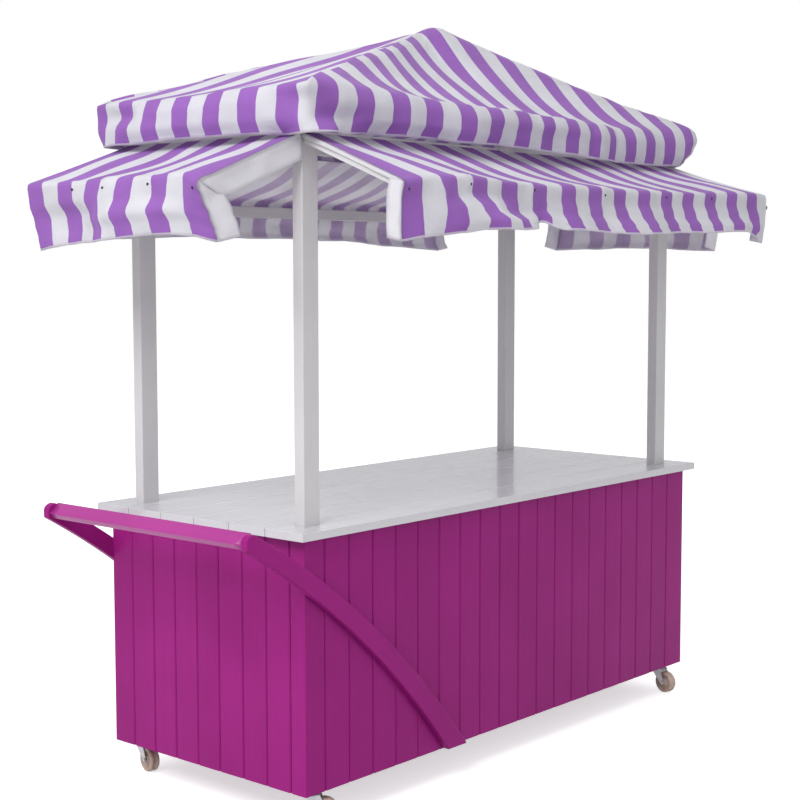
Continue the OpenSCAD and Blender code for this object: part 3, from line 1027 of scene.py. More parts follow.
@dataclass
class CounterTop(Assembly):
    """Six glossy boards along the stall, with the four posts passing through them.

    Attributes:
        over_end: Overhang at each end.
        over_side: Overhang at the front and back.
        boards: How many boards.
        joint: Width of the gap between boards.
        post_room: Gap round a post.
        rounded_by: Width of the boards' eased edges.
    """

    over_end: float = 0.036
    over_side: float = 0.028
    boards: int = 6
    joint: float = 0.0018
    post_room: float = 0.001
    rounded_by: float = 0.0016

    def cells(self, xs: Array, ys: Array, holes: Array, tone: float) -> Shape:
        """Plate of the cells between sorted lines, without the cells that are holes.

        Each kept cell has a top and a bottom, and a wall wherever its neighbour is missing.

        Args:
            xs: Lines across X.
            ys: Lines across Y.
            holes: True where a cell is left out, by X and Y.
            tone: The board's tone.

        Returns:
            The plate, facing outwards.
        """
        nx, ny = len(xs), len(ys)
        levels = [self.size.counter_z, self.size.counter_z + self.size.counter_t]
        gx, gy, gz = np.meshgrid(xs, ys, levels, indexing="ij")
        points = np.stack([gx, gy, gz], -1).reshape(-1, 3)
        at = np.arange(nx * ny * 2).reshape(nx, ny, 2)
        full = np.pad(~holes, 1)
        i, j = np.nonzero(~holes)
        a, b, c, d = at[i, j], at[i + 1, j], at[i + 1, j + 1], at[i, j + 1]
        quads = [
            np.stack([a[:, 1], b[:, 1], c[:, 1], d[:, 1]], -1),
            np.stack([a[:, 0], d[:, 0], c[:, 0], b[:, 0]], -1),
        ]
        for di, dj, p, q in ((0, -1, a, b), (1, 0, b, c), (0, 1, c, d), (-1, 0, d, a)):
            open_side = ~full[i + 1 + di, j + 1 + dj]
            p, q = p[open_side], q[open_side]
            quads.append(np.stack([p[:, 0], q[:, 0], q[:, 1], p[:, 1]], -1))
        faces = np.concatenate(quads)
        uv = np.stack([points[:, 0] + 5.0 * tone, points[:, 1] + points[:, 2]], -1)
        used, faces = np.unique(faces, return_inverse=True)
        return Shape.of(points[used], [faces.reshape(-1, 4)], uv[used], tone)

    def build(self) -> None:
        """Builds and dresses the boards."""
        s = self.size
        x1 = s.body_l / 2 + self.over_end
        y1 = s.body_w / 2 + self.over_side
        edges = np.linspace(-y1, y1, self.boards + 1)
        room = self.post_room
        hole_x = np.array([s.post_x - s.stud_w - room, s.post_x + room])
        hole_y = np.array([s.post_y - s.stud_t - room, s.post_y + room])
        xs = np.concatenate([[-x1], -hole_x[::-1], hole_x, [x1]])
        shapes = []
        rng = np.random.default_rng(11)
        for k in range(self.boards):
            lo = edges[k] + (self.joint / 2 if k else 0.0)
            hi = edges[k + 1] - (self.joint / 2 if k < self.boards - 1 else 0.0)
            holed = k in (0, self.boards - 1)
            cut = hole_y if k else -hole_y[::-1]
            ys = np.array([lo, *cut, hi]) if holed else np.array([lo, hi])
            holes = np.zeros((len(xs) - 1, len(ys) - 1), bool)
            if holed:
                holes[[1, 3], 1] = True
            shapes.append(self.cells(xs, ys, holes, float(rng.uniform(0, 1))))
        piece = Piece("counter_boards", "white_paint", replaces=("counter_top",), bevel=self.rounded_by)
        piece.put(Shape.joined(shapes), self.finishes.white_gloss)


# ---------------------------------------------------------------- posts and roof timber


@dataclass
class RoofTimber(Assembly):
    """Posts, rails round their tops, hip rafters, ridge block, awning arms and eave bars.

    Attributes:
        rafter_h: Depth of a rafter.
        slack: Extra room between the rafters and the cloth.
        lean: How much lower the left rafters' heads are.
        inset: Distance from an awning's hanging edge in to its bar.
        lower: Distance from an awning's eave down to its bar.
        arm_h: Depth of an awning's arm.
        rail_low: How far the long rails' upper edges stay below the post tops.
        ease: Width of the timbers' eased edges.
    """

    rafter_h: float = 0.05
    slack: float = 0.013
    lean: float = 0.028
    inset: float = 0.011
    lower: float = 0.014
    arm_h: float = 0.022
    rail_low: float = 0.014
    ease: float = 0.0025

    def put(self, name: str, shape: Shape, node: str) -> None:
        """Puts one painted timber in place of its CAD node."""
        piece = Piece(name, "white_paint", replaces=(node,), bevel=self.ease)
        piece.put(shape, self.finishes.white)

    def posts(self) -> None:
        """The four planed posts, each with its own grain."""
        s = self.size
        for k, (sx, sy, name) in enumerate(
            ((-1, -1, "front_left"), (1, -1, "front_right"), (-1, 1, "back_left"), (1, 1, "back_right"))
        ):
            shape = beam(
                (s.post_x - s.stud_w, s.post_y - s.stud_t, s.floor_z + s.panel_t),
                (s.post_x, s.post_y, s.post_top), 2, 0.15 + 0.2 * k,
            )
            self.put(f"post_{name}_planed", shape.mirrored(sx < 0, sy < 0), f"post_{name}")

    def rails(self) -> None:
        """The four rails that tie the post tops together."""
        s = self.size
        long_rail = beam(
            (-s.post_x - s.stud_t, s.post_y, s.rail_z),
            (s.post_x + s.stud_t, s.post_y + s.stud_t, s.post_top - self.rail_low), 0, 0.4
        )
        short = beam((s.post_x, -s.post_y, s.rail_z), (s.post_x + s.stud_t, s.post_y, s.post_top), 1, 0.7)
        self.put("rail_back_planed", long_rail, "top_rail_back")
        self.put("rail_front_planed", long_rail.mirrored(y=True), "top_rail_front")
        self.put("rail_right_planed", short, "top_rail_right")
        self.put("rail_left_planed", short.mirrored(x=True), "top_rail_left")

    def rafters(self) -> None:
        """The hip rafters and the block that their heads meet."""
        s = self.size
        run = np.array([s.eave[0] - s.ridge[0], s.eave[1] - s.ridge[1]])
        angle = math.atan2(run[1], run[0])
        length, rise = float(np.hypot(*run)), s.ridge_z - s.eave_z
        slope = rise / run[1]
        drop = s.stud_t / 2 * math.cos(angle) * slope + s.cloth_v + s.seat_gap + self.slack
        top = lambda d: s.eave_z + rise * d / length - drop
        heel = (s.eave[1] - s.post_y - s.stud_t) / math.sin(angle) + s.stud_t / 2 / math.tan(angle)
        seat = max((s.post_top + self.rafter_h + drop - s.eave_z) * length / rise, heel + 0.001)
        head = length - 0.012
        outline = np.array(
            [[heel, s.post_top], [seat, s.post_top], [head, top(head) - self.rafter_h],
             [head, top(head)], [heel, top(heel)]]
        )
        direction = (-math.cos(angle), -math.sin(angle), 0.0)
        axes = Axes((s.eave[0], s.eave[1], 0.0), direction, (0, 0, 1))
        rafter = prism(outline, (-s.stud_t / 2, s.stud_t / 2), axes, 0.55)
        four = Shape.joined([rafter.mirrored(sx < 0, sy < 0) for sx in (1, -1) for sy in (1, -1)])
        left = four.points[:, 0] < 0
        four.points[:, 2] -= self.lean * np.where(left, 1 + four.points[:, 0] / s.eave[0], 0)
        self.put("rafters_planed", four, "hip_rafters")
        half_l, half_w = s.ridge[0] - 0.005, s.ridge[1] + s.stud_t / 2 / math.cos(angle) + 0.002
        block_top = s.ridge_z - s.cloth_v - s.seat_gap
        shoulder = block_top - (half_w - s.ridge[1]) * slope
        bottom = top(length) - self.rafter_h - 0.005
        section = np.array(
            [[-half_w, bottom], [half_w, bottom], [half_w, shoulder], [s.ridge[1], block_top],
             [-s.ridge[1], block_top], [-half_w, shoulder]]
        )
        block = prism(section, (-half_l, half_l), END_VIEW, 0.3)
        block.points[:, 2] -= 0.001 + 0.7 * self.lean * (1 - block.points[:, 0] / half_l)
        self.put("ridge_block_planed", block, "ridge_block")

    def outriggers(self) -> None:
        """The arms that slope out from the posts, and the bars along the awnings' eaves."""
        s = self.size
        under = s.cloth_v + s.seat_gap
        for side in Side:
            on_end = side in (Side.LEFT, Side.RIGHT)
            reach, half, start = (
                (s.reach_end, s.post_y, s.post_x) if on_end else (s.reach_side, s.post_x, s.post_y)
            )
            out = reach - self.inset
            at = lambda u: s.awning_z - s.awning_low - (s.awning_fall + 0.003) * u / reach - under - 0.002
            end = out - s.bar
            outline = np.array(
                [[0, at(0)], [end, at(end)], [end, at(end) - self.arm_h], [0, at(0) - self.arm_h]]
            )
            arm = prism(outline, (-s.stud_t / 2, s.stud_t / 2), SIDE_VIEW, 0.35)
            pair = [arm.moved(0, (start, k * (half - s.stud_t / 2), 0)) for k in (-1, 1)]
            name = side.name.lower()
            turn = side.value
            self.put(f"arms_{name}_planed", Shape.joined(pair).moved(turn), f"awning_arms_{name}")
            z = s.awning_z - s.awning_fall - self.lower
            bar = beam((start + out - s.bar, -half, z - s.bar), (start + out, half, z), 1, 0.6)
            self.put(f"bar_{name}_planed", bar.moved(turn), f"eave_bar_{name}")

    def build(self) -> None:
        """Builds and dresses all the timber above the counter."""
        self.posts()
        self.rails()
        self.rafters()
        self.outriggers()


# ---------------------------------------------------------------- cloth


def eased_rows(points: Array, weight: Array, passes: int) -> Array:
    """Smooths a grid down its rows: each pass moves a point towards its neighbours' mean.

    Args:
        points: rows by columns by 3.
        weight: Share moved at each point, 0 to 1, rows by columns or rows by 1.
        passes: How many passes.

    Returns:
        The smoothed grid.
    """
    out = points.copy()
    w = weight[1:-1, :, None] * 0.5
    for _ in range(passes):
        out[1:-1] += w * ((out[:-2] + out[2:]) / 2 - out[1:-1])
    return out


def eased_round(points: Array, weight: Array, passes: int) -> Array:
    """Smooths a closed grid round its columns in the same way.

    Args:
        points: rows by columns by 3.
        weight: Share moved in each row, 0 to 1.
        passes: How many passes.

    Returns:
        The smoothed grid.
    """
    out = points.copy()
    w = weight[:, None, None] * 0.5
    for _ in range(passes):
        out += w * ((np.roll(out, 1, 1) + np.roll(out, -1, 1)) / 2 - out)
    return out


def normals(points: Array, wrap: bool = False) -> Array:
    """Unit normals of a grid: the cross product of its column and row differences.

    Args:
        points: rows by columns by 3.
        wrap: Whether the last column joins the first.

    Returns:
        The normals.
    """
    down = np.gradient(points, axis=0)
    if wrap:
        across = np.roll(points, -1, 1) - np.roll(points, 1, 1)
    else:
        across = np.gradient(points, axis=1)
    n = np.cross(across, down)
    return n / np.maximum(np.linalg.norm(n, axis=-1, keepdims=True), 1e-12)


def down_to_hem(points: Array) -> Array:
    """Length of cloth from each point of a grid down its column to the last row."""
    step = np.linalg.norm(np.diff(points, axis=0), axis=-1)
    return np.concatenate([np.cumsum(step[::-1], axis=0)[::-1], np.zeros((1, points.shape[1]))])


def shares(x: Array, knots: Sequence[float]) -> Array:
    """Share of each knot at each x: it passes from one knot to the next by a smooth step.

    Args:
        x: Places, n of them, between the first and the last knot.
        knots: The knots in rising order.

    Returns:
        The shares, n by the number of knots, each row summing to 1.
    """
    k = np.asarray(knots, float)
    i = np.clip(np.searchsorted(k, x, side="right") - 1, 0, len(k) - 2)
    t = ease((x - k[i]) / (k[i + 1] - k[i]))
    out = np.zeros((len(x), len(k)))
    out[np.arange(len(x)), i] = 1 - t
    out[np.arange(len(x)), i + 1] = t
    return out


@dataclass(frozen=True)
class Skirt:
    """How the hanging edge on one side falls from its eave, seen from outside.

    Attributes:
        places: Where its profiles are, from -1 at the left end to 1 at the right end.
        profiles: How far out each one stands, in millimetres, at the heights given.
        rise: At each place, how much higher the hem is than the drop makes it, in millimetres.
        top: At each place, how much higher the eave is, in millimetres, or nothing.
        heights: Fractions of the way down of a profile's values.
        outward: Share of a profile that moves the cloth outwards.
        along: Share of a profile that moves it to the right.
    """

    places: tuple[float, ...] = (-1.0, -0.6, 0.0, 0.5, 1.0)
    profiles: tuple[tuple[float, ...], ...] = (
        (4, 6, 8, 0, -10), (0, 12, 16, 8, -4), (0, 14, 20, 14, 0), (0, 12, 14, 8, -6), (4, 6, 8, 0, -10)
    )
    rise: tuple[float, ...] = (-2, 2, 4, 1, -3)
    top: tuple[float, ...] = ()
    heights: tuple[float, ...] = (0.0, 0.3, 0.58, 0.82, 1.0)
    outward: float = 1.0
    along: float = 0.0

    def stand(self, a: Array, g: Array) -> Array:
        """The profiles' values in metres at places a and fractions g down, g by a."""
        table = 0.001 * np.array(self.profiles, float)
        return shares(np.ravel(g), self.heights) @ table.T @ shares(np.ravel(a), self.places).T

    def lift(self, a: Array) -> Array:
        """How much higher the hem is at places a, in metres."""
        return 0.001 * shares(np.ravel(a), self.places) @ np.array(self.rise, float)

    def crown(self, a: Array) -> Array:
        """How much higher the eave is at places a, in metres."""
        top = np.array(self.top or (0.0,) * len(self.places), float)
        return 0.001 * shares(np.ravel(a), self.places) @ top


@dataclass
class HipCanopy(Assembly):
    """The upper canopy: one cloth cover of four panels sewn along the hips.

    Attributes:
        sag: How far the long and the end panels sink in the middle.
        bow: How far the long and the end eaves bow out in the middle.
        drop: Height of the hanging edge.
        cell: Size of the grid.
        strip: Width of tight cloth beside the rafters on long and end panels.
        hip_sag: How far the hips sink half way down.
        eave_low: How much lower the long and the end eaves are than the slope makes them.
        low_end: How much lower the left end of the ridge is than its peak.
        peak: Where along the ridge its peak is.
        skirts: How the front, right, back and left edges hang.
        phases: Where the first coloured stripe starts on the same sides, along X or Y.
        pinches: Places of the sharp creases in the front edge.
        pinch: Depth and half width of such a crease, and how far it slants on its way down.
        tight: How strongly the long and the end eaves are rounded.
    """

    sag: tuple[float, float] = (0.078, 0.028)
    bow: tuple[float, float] = (0.066, 0.016)
    drop: float = 0.133
    cell: float = 0.0105
    strip: tuple[float, float] = (0.052, 0.027)
    hip_sag: float = 0.012
    eave_low: tuple[float, float] = (0.0, 0.006)
    low_end: float = 0.03
    peak: float = 0.05
    skirts: tuple[Skirt, ...] = (
        Skirt(
            (-1.0, -0.93, -0.86, -0.8, -0.72, -0.64, -0.55, -0.3, 0.1, 0.3, 0.5, 0.7, 0.9, 1.0),
            ((8, -8, -6, 4), (5, 0, -14, 20), (3, 12, -16, -16), (1, 12, 4, -19), (0, 13, 9, -24),
             (0, 13, 14, -4), (0, 14, 12, -14), (0, 17, 9, -4), (0, 18, 8, 4), (-14, 2, -4, -6),
             (-32, -14, -12, -18), (-22, -6, -8, -16), (-2, 8, 4, -12), (4, 12, 0, -26)),
            rise=(-4, -3, -2, 0, 2, 2, 2, 0, -7, -13, -14, -12, -4, 24),
            top=(0, 0, 0, 0, 0, 0, 0, 0, 0, -7, -13, -14, -10, 0),
            heights=(0.0, 0.35, 0.67, 1.0),
        ),
        Skirt(
            (-1.0, -0.8, -0.3, 0.3, 0.8, 1.0),
            ((6, 12, -2, -32), (6, 14, 12, -10), (4, 18, 16, 2), (4, 14, 18, 0), (4, 14, 10, -8),
             (4, 8, 4, -8)),
            rise=(24, 2, 2, 2, 0, -2),
            heights=(0.0, 0.35, 0.67, 1.0),
        ),
        Skirt(),
        Skirt(
            (-1.0, -0.9, -0.78, -0.63, -0.5, -0.2, 0.3, 0.6, 0.8, 0.93, 1.0),
            ((12, 10, 12, -1), (12, 0, 8, 14), (12, -8, 15, 22), (12, -4, 24, 15), (12, 22, 30, 16),
             (12, 34, 38, 22), (12, 28, 32, 18), (12, 22, 24, 12), (12, 6, 6, -22), (12, -6, -8, -18),
             (10, -8, -8, -10)),
            rise=(-4, -4, -4, -4, -4, -3, -3, -4, -6, -6, -6),
            heights=(0.0, 0.35, 0.67, 1.0),
        ),
    )
    phases: tuple[float, ...] = (0.9715, 0.41, 0.9715, 0.41)
    pinches: tuple[float, ...] = (0.275, 0.46)
    pinch: tuple[float, float, float] = (0.011, 0.013, 0.03)
    tight: tuple[float, float] = (0.55, 0.12)

    def sag_share(self, f: Array) -> Array:
        """Share of the sag down a panel: a quick rise to 1 at 0.7, then a fall to a quarter.

        Args:
            f: Fraction of the way down.

        Returns:
            The share, 0 to 1.
        """
        rise = 1 - ((0.7 - f) / 0.65) ** 2
        fall = 1 - 0.75 * ((f - 0.7) / 0.3) ** 2
        return np.where(f < 0.05, 0.0, np.where(f < 0.7, rise, fall))

    def panel(self, side: int, cols: int, slope_rows: int, drop_rows: int) -> Array:
        """One panel of the cover, seen from outside, in its own frame.

        A row is a level line. On the slope it goes from hip to hip at fraction f of the way
        down; the cloth sinks by the sag times its share down the panel and (1 - a^2)^1.2
        across it, and along the hips by the hip sag times the sine of f. The eave bows out by
        1 - a^2. Below it the rows follow the side's skirt, and end where the neighbours' do.

        Args:
            side: 0 to 3 for front, right, back and left.
            cols: Columns from hip to hip.
            slope_rows: Rows on the slope.
            drop_rows: Rows in the hanging edge.

        Returns:
            Points, rows by columns by 3: along the eave, outwards, up.
        """
        kind = side % 2
        long_half, out_half = self.size.eave[kind], self.size.eave[1 - kind]
        long_0, out_0 = self.size.ridge[kind], self.size.ridge[1 - kind]
        f = np.linspace(0, 1, slope_rows)[:, None]
        g = np.linspace(0, 1, drop_rows + 1)[1:, None]
        a = np.linspace(-1, 1, cols)[None, :]
        half = long_0 + (long_half - long_0) * f
        free = np.maximum(half - self.strip[kind], half * 0.4)
        share = np.maximum(1 - (a * half / free) ** 2, 0) ** 1.2
        bowed = self.bow[kind] * (1 - a**2)
        skirt, before, after = self.skirts[side], self.skirts[side - 1], self.skirts[(side + 1) % 4]
        one, top = np.ones(1), np.zeros(1)
        out = out_0 + (out_half - out_0) * f + (bowed + skirt.stand(a, top)) * f**4
        z = self.size.ridge_z - (self.size.ridge_z - self.size.eave_z) * f
        z = z - self.sag[kind] * self.sag_share(f) * share
        z = z - self.hip_sag * np.sin(math.pi * f) * a**2 + (skirt.crown(a) - self.eave_low[kind]) * f**4
        corner = lambda h: np.where(a < 0, -before.stand(one, h), after.stand(-one, h)) * np.abs(a) ** 12
        slope = stacked(a * half + corner(top) * f**4, out, z)
        edge_z = z[-1:] - (self.drop - skirt.lift(a) - (self.size.eave_z - z[-1:])) * g
        stand = skirt.stand(a, g) + bowed
        depth, width, slant = self.pinch
        for at in self.pinches if side == 0 else ():
            fade = ease(g * 4) * ease((1.15 - g) * 3)
            stand = stand - depth * hump(a * long_half + slant * g, at, width) * fade
        hang = stacked(a * long_half + corner(g), out_half + stand, edge_z)
        return np.concatenate([slope, hang])

    def crest(self, x: Array) -> Array:
        """Change of the ridge's height at x: lower at its left end, and highest at the peak."""
        t = (x + self.size.ridge[0]) / (self.peak + self.size.ridge[0])
        return 0.005 * hump(x, self.peak, 0.05) - self.low_end * (1 - ease(t))

    def cap(self, kind: int, cols: int, rows: int) -> Array:
        """The crest above a panel: rows that shrink to the ridge line and rise a little.

        Args:
            kind: 0 for a long panel, 1 for an end panel.
            cols: Columns from hip to hip.
            rows: Rows in the crest.

        Returns:
            Points, rows by columns by 3, in the panel's own frame.
        """
        e = np.linspace(0, 1, rows + 1)[:-1, None]
        a = np.linspace(-1, 1, cols)[None, :]
        half = (self.size.ridge[0] - 0.022 * (1 - e), self.size.ridge[1] * e)
        z = self.size.ridge_z + 0.003 * (1 - e**2) + 0 * a
        return stacked(a * half[kind], half[1 - kind] + 0 * a, z)

    def creased(self, points: Array, kinds: Array, down: Array, hang: Array) -> Array:
        """Adds the cloth's own unevenness along its normals.

        Args:
            points: The whole cover, rows by columns by 3.
            kinds: 0 or 1 for each column's kind of panel.
            down: Fraction down the slope of each row, 1 below the eave.
            hang: Fraction down the hanging edge of each row.

        Returns:
            The creased cover.
        """
        n = normals(points, wrap=True)
        x, y = points[..., 0], points[..., 1]
        along = np.where(kinds[None, :] == 0, x, y)
        soft = ripple(along, points[..., 2], 0.30, 21) * 0.0035 * ease(down * 2)[:, None]
        fine = ripple(along, points[..., 2] * 0.5, 0.11, 22) * 0.0014 * ease(down * 2)[:, None]
        waves = ripple(along, 0.15 * points[..., 2], 0.26, 23) * 0.006 * ease(hang * 1.4)[:, None]
        return points + n * (soft + fine + waves)[..., None]

    def build(self) -> bpy.types.Object:
        """Builds and dresses the cover.

        Returns:
            The object.
        """
        counts = [int(2 * self.size.eave[k] / self.cell) for k in (0, 1)]
        slope_rows, drop_rows, cap_rows = int(0.51 / self.cell), int(self.drop / self.cell), 4
        sides = []
        for side, turn in enumerate((0, 90, 180, 270)):
            kind = side % 2
            n = counts[kind] + 1
            slope = self.panel(side, n, slope_rows, drop_rows)
            grid = np.concatenate([self.cap(kind, n, cap_rows), slope])
            c, s = math.cos(math.radians(turn)), math.sin(math.radians(turn))
            x, y = grid[..., 0], -grid[..., 1]
            sides.append(np.stack([c * x - s * y, s * x + c * y, grid[..., 2]], -1)[:, :-1])
        points = np.concatenate(sides, 1)
        rows = points.shape[0]
        kinds = np.repeat([0, 1, 0, 1], [g.shape[1] for g in sides])
        index = np.arange(rows) - cap_rows
        down = np.clip(index / (slope_rows - 1), 0, 1)
        hang = np.clip((index - slope_rows + 1) / drop_rows, 0, 1)
        round_eave = np.repeat(self.tight * 2, [g.shape[1] for g in sides])
        near_eave = hump(index.astype(float), slope_rows - 0.5, 4.0)[:, None] * round_eave
        points[..., 2] += self.crest(points[..., 0]) * (1 - ease(down * 1.6))[:, None]
        points = self.creased(points, kinds, down, hang)
        points = eased_rows(points, near_eave, 7)
        points = eased_round(points, ease(hang * 1.5), 3)
        faces, uvs = self.skin(points, sides)
        shape = Shape(points.reshape(-1, 3), [faces[:, ::-1]], [uvs[:, ::-1]], [0.5])
        piece = Piece(
            "canopy_cloth", "striped_cloth", replaces=("upper_canopy",), thick=self.size.cloth_t, weld=True
        )
        return piece.put(shape, self.finishes.cloth, self.finishes.cloth_inside)

    def skin(self, points: Array, sides: list[Array]) -> tuple[Array, Array]:
        """Quads of the closed cover, with each panel's own UV.

        Across a panel, u is the distance along its eave from where the stripes start, and v is
        the length of cloth from there down to the hem.

        Args:
            points: The cover, rows by columns by 3.
            sides: The four panels' grids.

        Returns:
            Quads k by 4, and their UV k by 4 by 2.
        """
        rows, cols = points.shape[:2]
        faces = grid_faces(rows, cols, wrap=True)
        to_hem = down_to_hem(points)
        uvs = []
        start = 0
        for k, grid in enumerate(sides):
            n = grid.shape[1]
            column = (start + np.arange(n + 1)) % cols
            u = points[:, column, k % 2] + self.phases[k] + 14 * self.size.stripe
            v = to_hem[:, column]
            uv = np.stack([u, v], -1)
            quad = np.stack([uv[:-1, :-1], uv[:-1, 1:], uv[1:, 1:], uv[1:, :-1]], 2)
            uvs.append(quad)
            start += n
        return faces, np.concatenate(uvs, 1).reshape(-1, 4, 2)


@dataclass
class Awning(Assembly):
    """One striped awning: its slope, hanging edge, side flaps and turned back ends.

    Attributes:
        side: Which side of the stall it is on.
        reach: Reach from the posts' faces.
        half: Half of its width between the posts' outer faces.
        flap: Height of the flaps along its sloping edges.
        back: Width of the turned back ends of its hanging edge.
        count: How many stripes it has, the first one coloured, from its left end.
        seed: Chooses its folds.
        skirt: How its hanging edge falls.
        flare: How much wider it is at its eave, at the left and the right end.
        drop: Height of the hanging edge.
        cell: Size of the grid.
        snaps: Places of the snaps along the eave, as seen from outside.
        notch: Place of a small gathered notch in the hem, if there is one.
        spots: Where the snaps came to lie, and the cloth's normals there.
    """

    side: Side
    reach: float
    half: float
    flap: float
    back: float
    count: int
    seed: int
    skirt: Skirt = Skirt()
    flare: tuple[float, float] = (0.0, 0.0)
    drop: float = 0.157
    cell: float = 0.0105
    snaps: tuple[float, ...] = ()
    notch: Optional[float] = None
    spots: list[tuple[Array, Array]] = field(default_factory=list)

    def world(self, points: Array) -> Array:
        """Turns points to the awning's side of the stall.

        Args:
            points: Along from left to right as seen from outside, outwards from the posts, up.

        Returns:
            The same points in X, Y and Z.
        """
        turn = math.radians(self.side.value)
        c, s = math.cos(turn), math.sin(turn)
        start = self.size.post_x if self.side in (Side.LEFT, Side.RIGHT) else self.size.post_y
        out = points[..., 1] + start
        w = points[..., 0]
        return np.stack([out * c - w * s, out * s + w * c, points[..., 2]], -1)

    def main(self, cols: int, slope_rows: int, drop_rows: int) -> Array:
        """The slope and the hanging edge.

        The slope widens by the flare and rises by the eave's change in proportion to the way
        down, and sags a little between its arms, by 1 - a^2 across times the sine down. The
        hanging edge follows its skirt.

        Args:
            cols: Columns across.
            slope_rows: Rows on the slope.
            drop_rows: Rows in the hanging edge.

        Returns:
            Points, rows by columns by 3.
        """
        s = self.size
        half = self.half + s.seat_gap + 0.003
        a = np.linspace(-1, 1, cols)[None, :]
        right = (a + 1) / 2
        eave = self.skirt.crown(a)
        wider = self.flare[1] * right - self.flare[0] * (1 - right)
        u = np.linspace(0.004, self.reach, slope_rows)[:, None]
        f = u / self.reach
        sag = 0.012 * (1 - a**2) * np.sin(math.pi * f)
        z = s.awning_z - s.awning_fall * f - sag + eave * f**2 - s.awning_low * (1 - f)
        slope = stacked(a * half + wider * f, u, z)
        g = np.linspace(0, 1, drop_rows + 1)[1:, None]
        w = a * half + wider
        stand = self.skirt.stand(a, g)
        foot = self.drop + eave - self.skirt.lift(a) - 0.003 * ripple(w, 0 * w, 0.5, self.seed + 1)
        if self.notch is not None:
            foot = foot - 0.016 * hump(w, self.notch, 0.03)
        top = self.skirt.stand(a, np.zeros(1)) * f**4
        slope[..., 1] += self.skirt.outward * top
        hang = stacked(
            w + self.skirt.along * stand, self.reach + self.skirt.outward * stand,
            s.awning_z - s.awning_fall + eave - foot * g,
        )
        return np.concatenate([slope, hang])

    def creased(self, points: Array, slope_rows: int, drop_rows: int) -> Array:
        """Adds folds: soft ones on the slope, tucks at the snaps, and waves in the hanging edge.

        Args:
            points: The main grid.
            slope_rows: Rows on the slope.
            drop_rows: Rows in the hanging edge.

        Returns:
            The creased grid.
        """
        n = -normals(points)
        rows = np.arange(points.shape[0])
        down = np.clip(rows / (slope_rows - 1), 0, 1)[:, None]
        hang = np.clip((rows - slope_rows + 1) / drop_rows, 0, 1)[:, None]
        w = points[..., 0]
        edge = 1 - np.clip(np.abs(w) / (self.half + 0.0034), 0, 1) ** 10
        soft = 0.0035 * ripple(w, points[..., 1], 0.32, self.seed + 2) * ease(down * 3) * edge
        fine = 0.0012 * ripple(w, 0.4 * points[..., 2], 0.1, self.seed + 3) * ease(down * 3) * edge
        waves = 0.004 * ripple(w, 0 * w, 0.3, self.seed + 4) * ease(hang * 2 - 0.6) * edge
        lean = 0.003 * ripple(w, 4 * points[..., 2], 0.5, self.seed + 5) * ease(hang * 2 - 0.4) * edge
        out = points + n * (soft + fine)[..., None]
        out[..., 1] += waves + lean
        for at in self.snaps:
            r = np.hypot(w - at, 0.6 * (hang * self.drop) + (1 - down) * self.reach)
            angle = np.arctan2(hang * self.drop - (1 - down) * self.reach, w - at)
            tuck = hump(r, 0.0, 0.05)
            out += n * (-0.004 * hump(r, 0.0, 0.022) + 0.0022 * tuck * np.cos(5 * angle))[..., None]
        if self.notch is not None:
            out[..., 1] += -0.012 * hump(w, self.notch, 0.02) * ease(hang * 1.5 - 0.4)
        return out

    def build(self) -> bpy.types.Object:
        """Builds and dresses the awning.

        Returns:
            The object.
        """
        cols = int(2 * self.half / self.cell) + 1
        slope_rows, drop_rows = int(0.4 / self.cell), int(self.drop / self.cell)
        main = self.creased(self.main(cols, slope_rows, drop_rows), slope_rows, drop_rows)
        near = hump(np.arange(len(main)).astype(float), slope_rows - 0.5, 2.5)
        main = eased_rows(main, near[:, None], 1)
        to_hem = down_to_hem(main)
        along = np.linspace(0, self.count * self.size.stripe, cols)[None, :] + 0 * to_hem
        parts = [self.part(main, np.stack([along, to_hem], -1))]
        self.spots = self.snap_spots(main, slope_rows)
        for end in (0, -1):
            sign = -1.0 if end == 0 else 1.0
            parts += self.end_parts(main[:, end], to_hem[:, end], sign, slope_rows)
        piece = Piece(
            f"awning_{self.side.name.lower()}_cloth", "striped_cloth",
            replaces=(f"awning_{self.side.name.lower()}",), thick=self.size.cloth_t, weld=True,
        )
        return piece.put(Shape.joined(parts), self.finishes.cloth, self.finishes.cloth_inside)

    def snap_spots(self, main: Array, slope_rows: int) -> list[tuple[Array, Array]]:
        """Finds where the snaps lie, a little below the eave.

        Args:
            main: The main grid.
            slope_rows: Rows on its slope.

        Returns:
            Each snap's place and the cloth's outward normal there.
        """
        row = slope_rows + 1
        column = [int(np.argmin(np.abs(main[row, :, 0] - at))) for at in self.snaps]
        place, way = self.world(main), -normals(main)
        turned_way = self.world(way) - self.world(np.zeros(3))
        return [(place[row, c], turned_way[row, c]) for c in column]

    def part(self, points: Array, uv: Array, flip: bool = False) -> Shape:
        """A grid of cloth on the awning's side of the stall.

        Args:
            points: The grid, in the awning's own frame.
            uv: UV of its points.
            flip: Whether it faces the other way from outwards and up.

        Returns:
            The shape.
        """
        faces = grid_faces(*points.shape[:2])
        if not flip:
            faces = faces[:, ::-1]
        return Shape.of(self.world(points).reshape(-1, 3), [faces], uv.reshape(-1, 2))

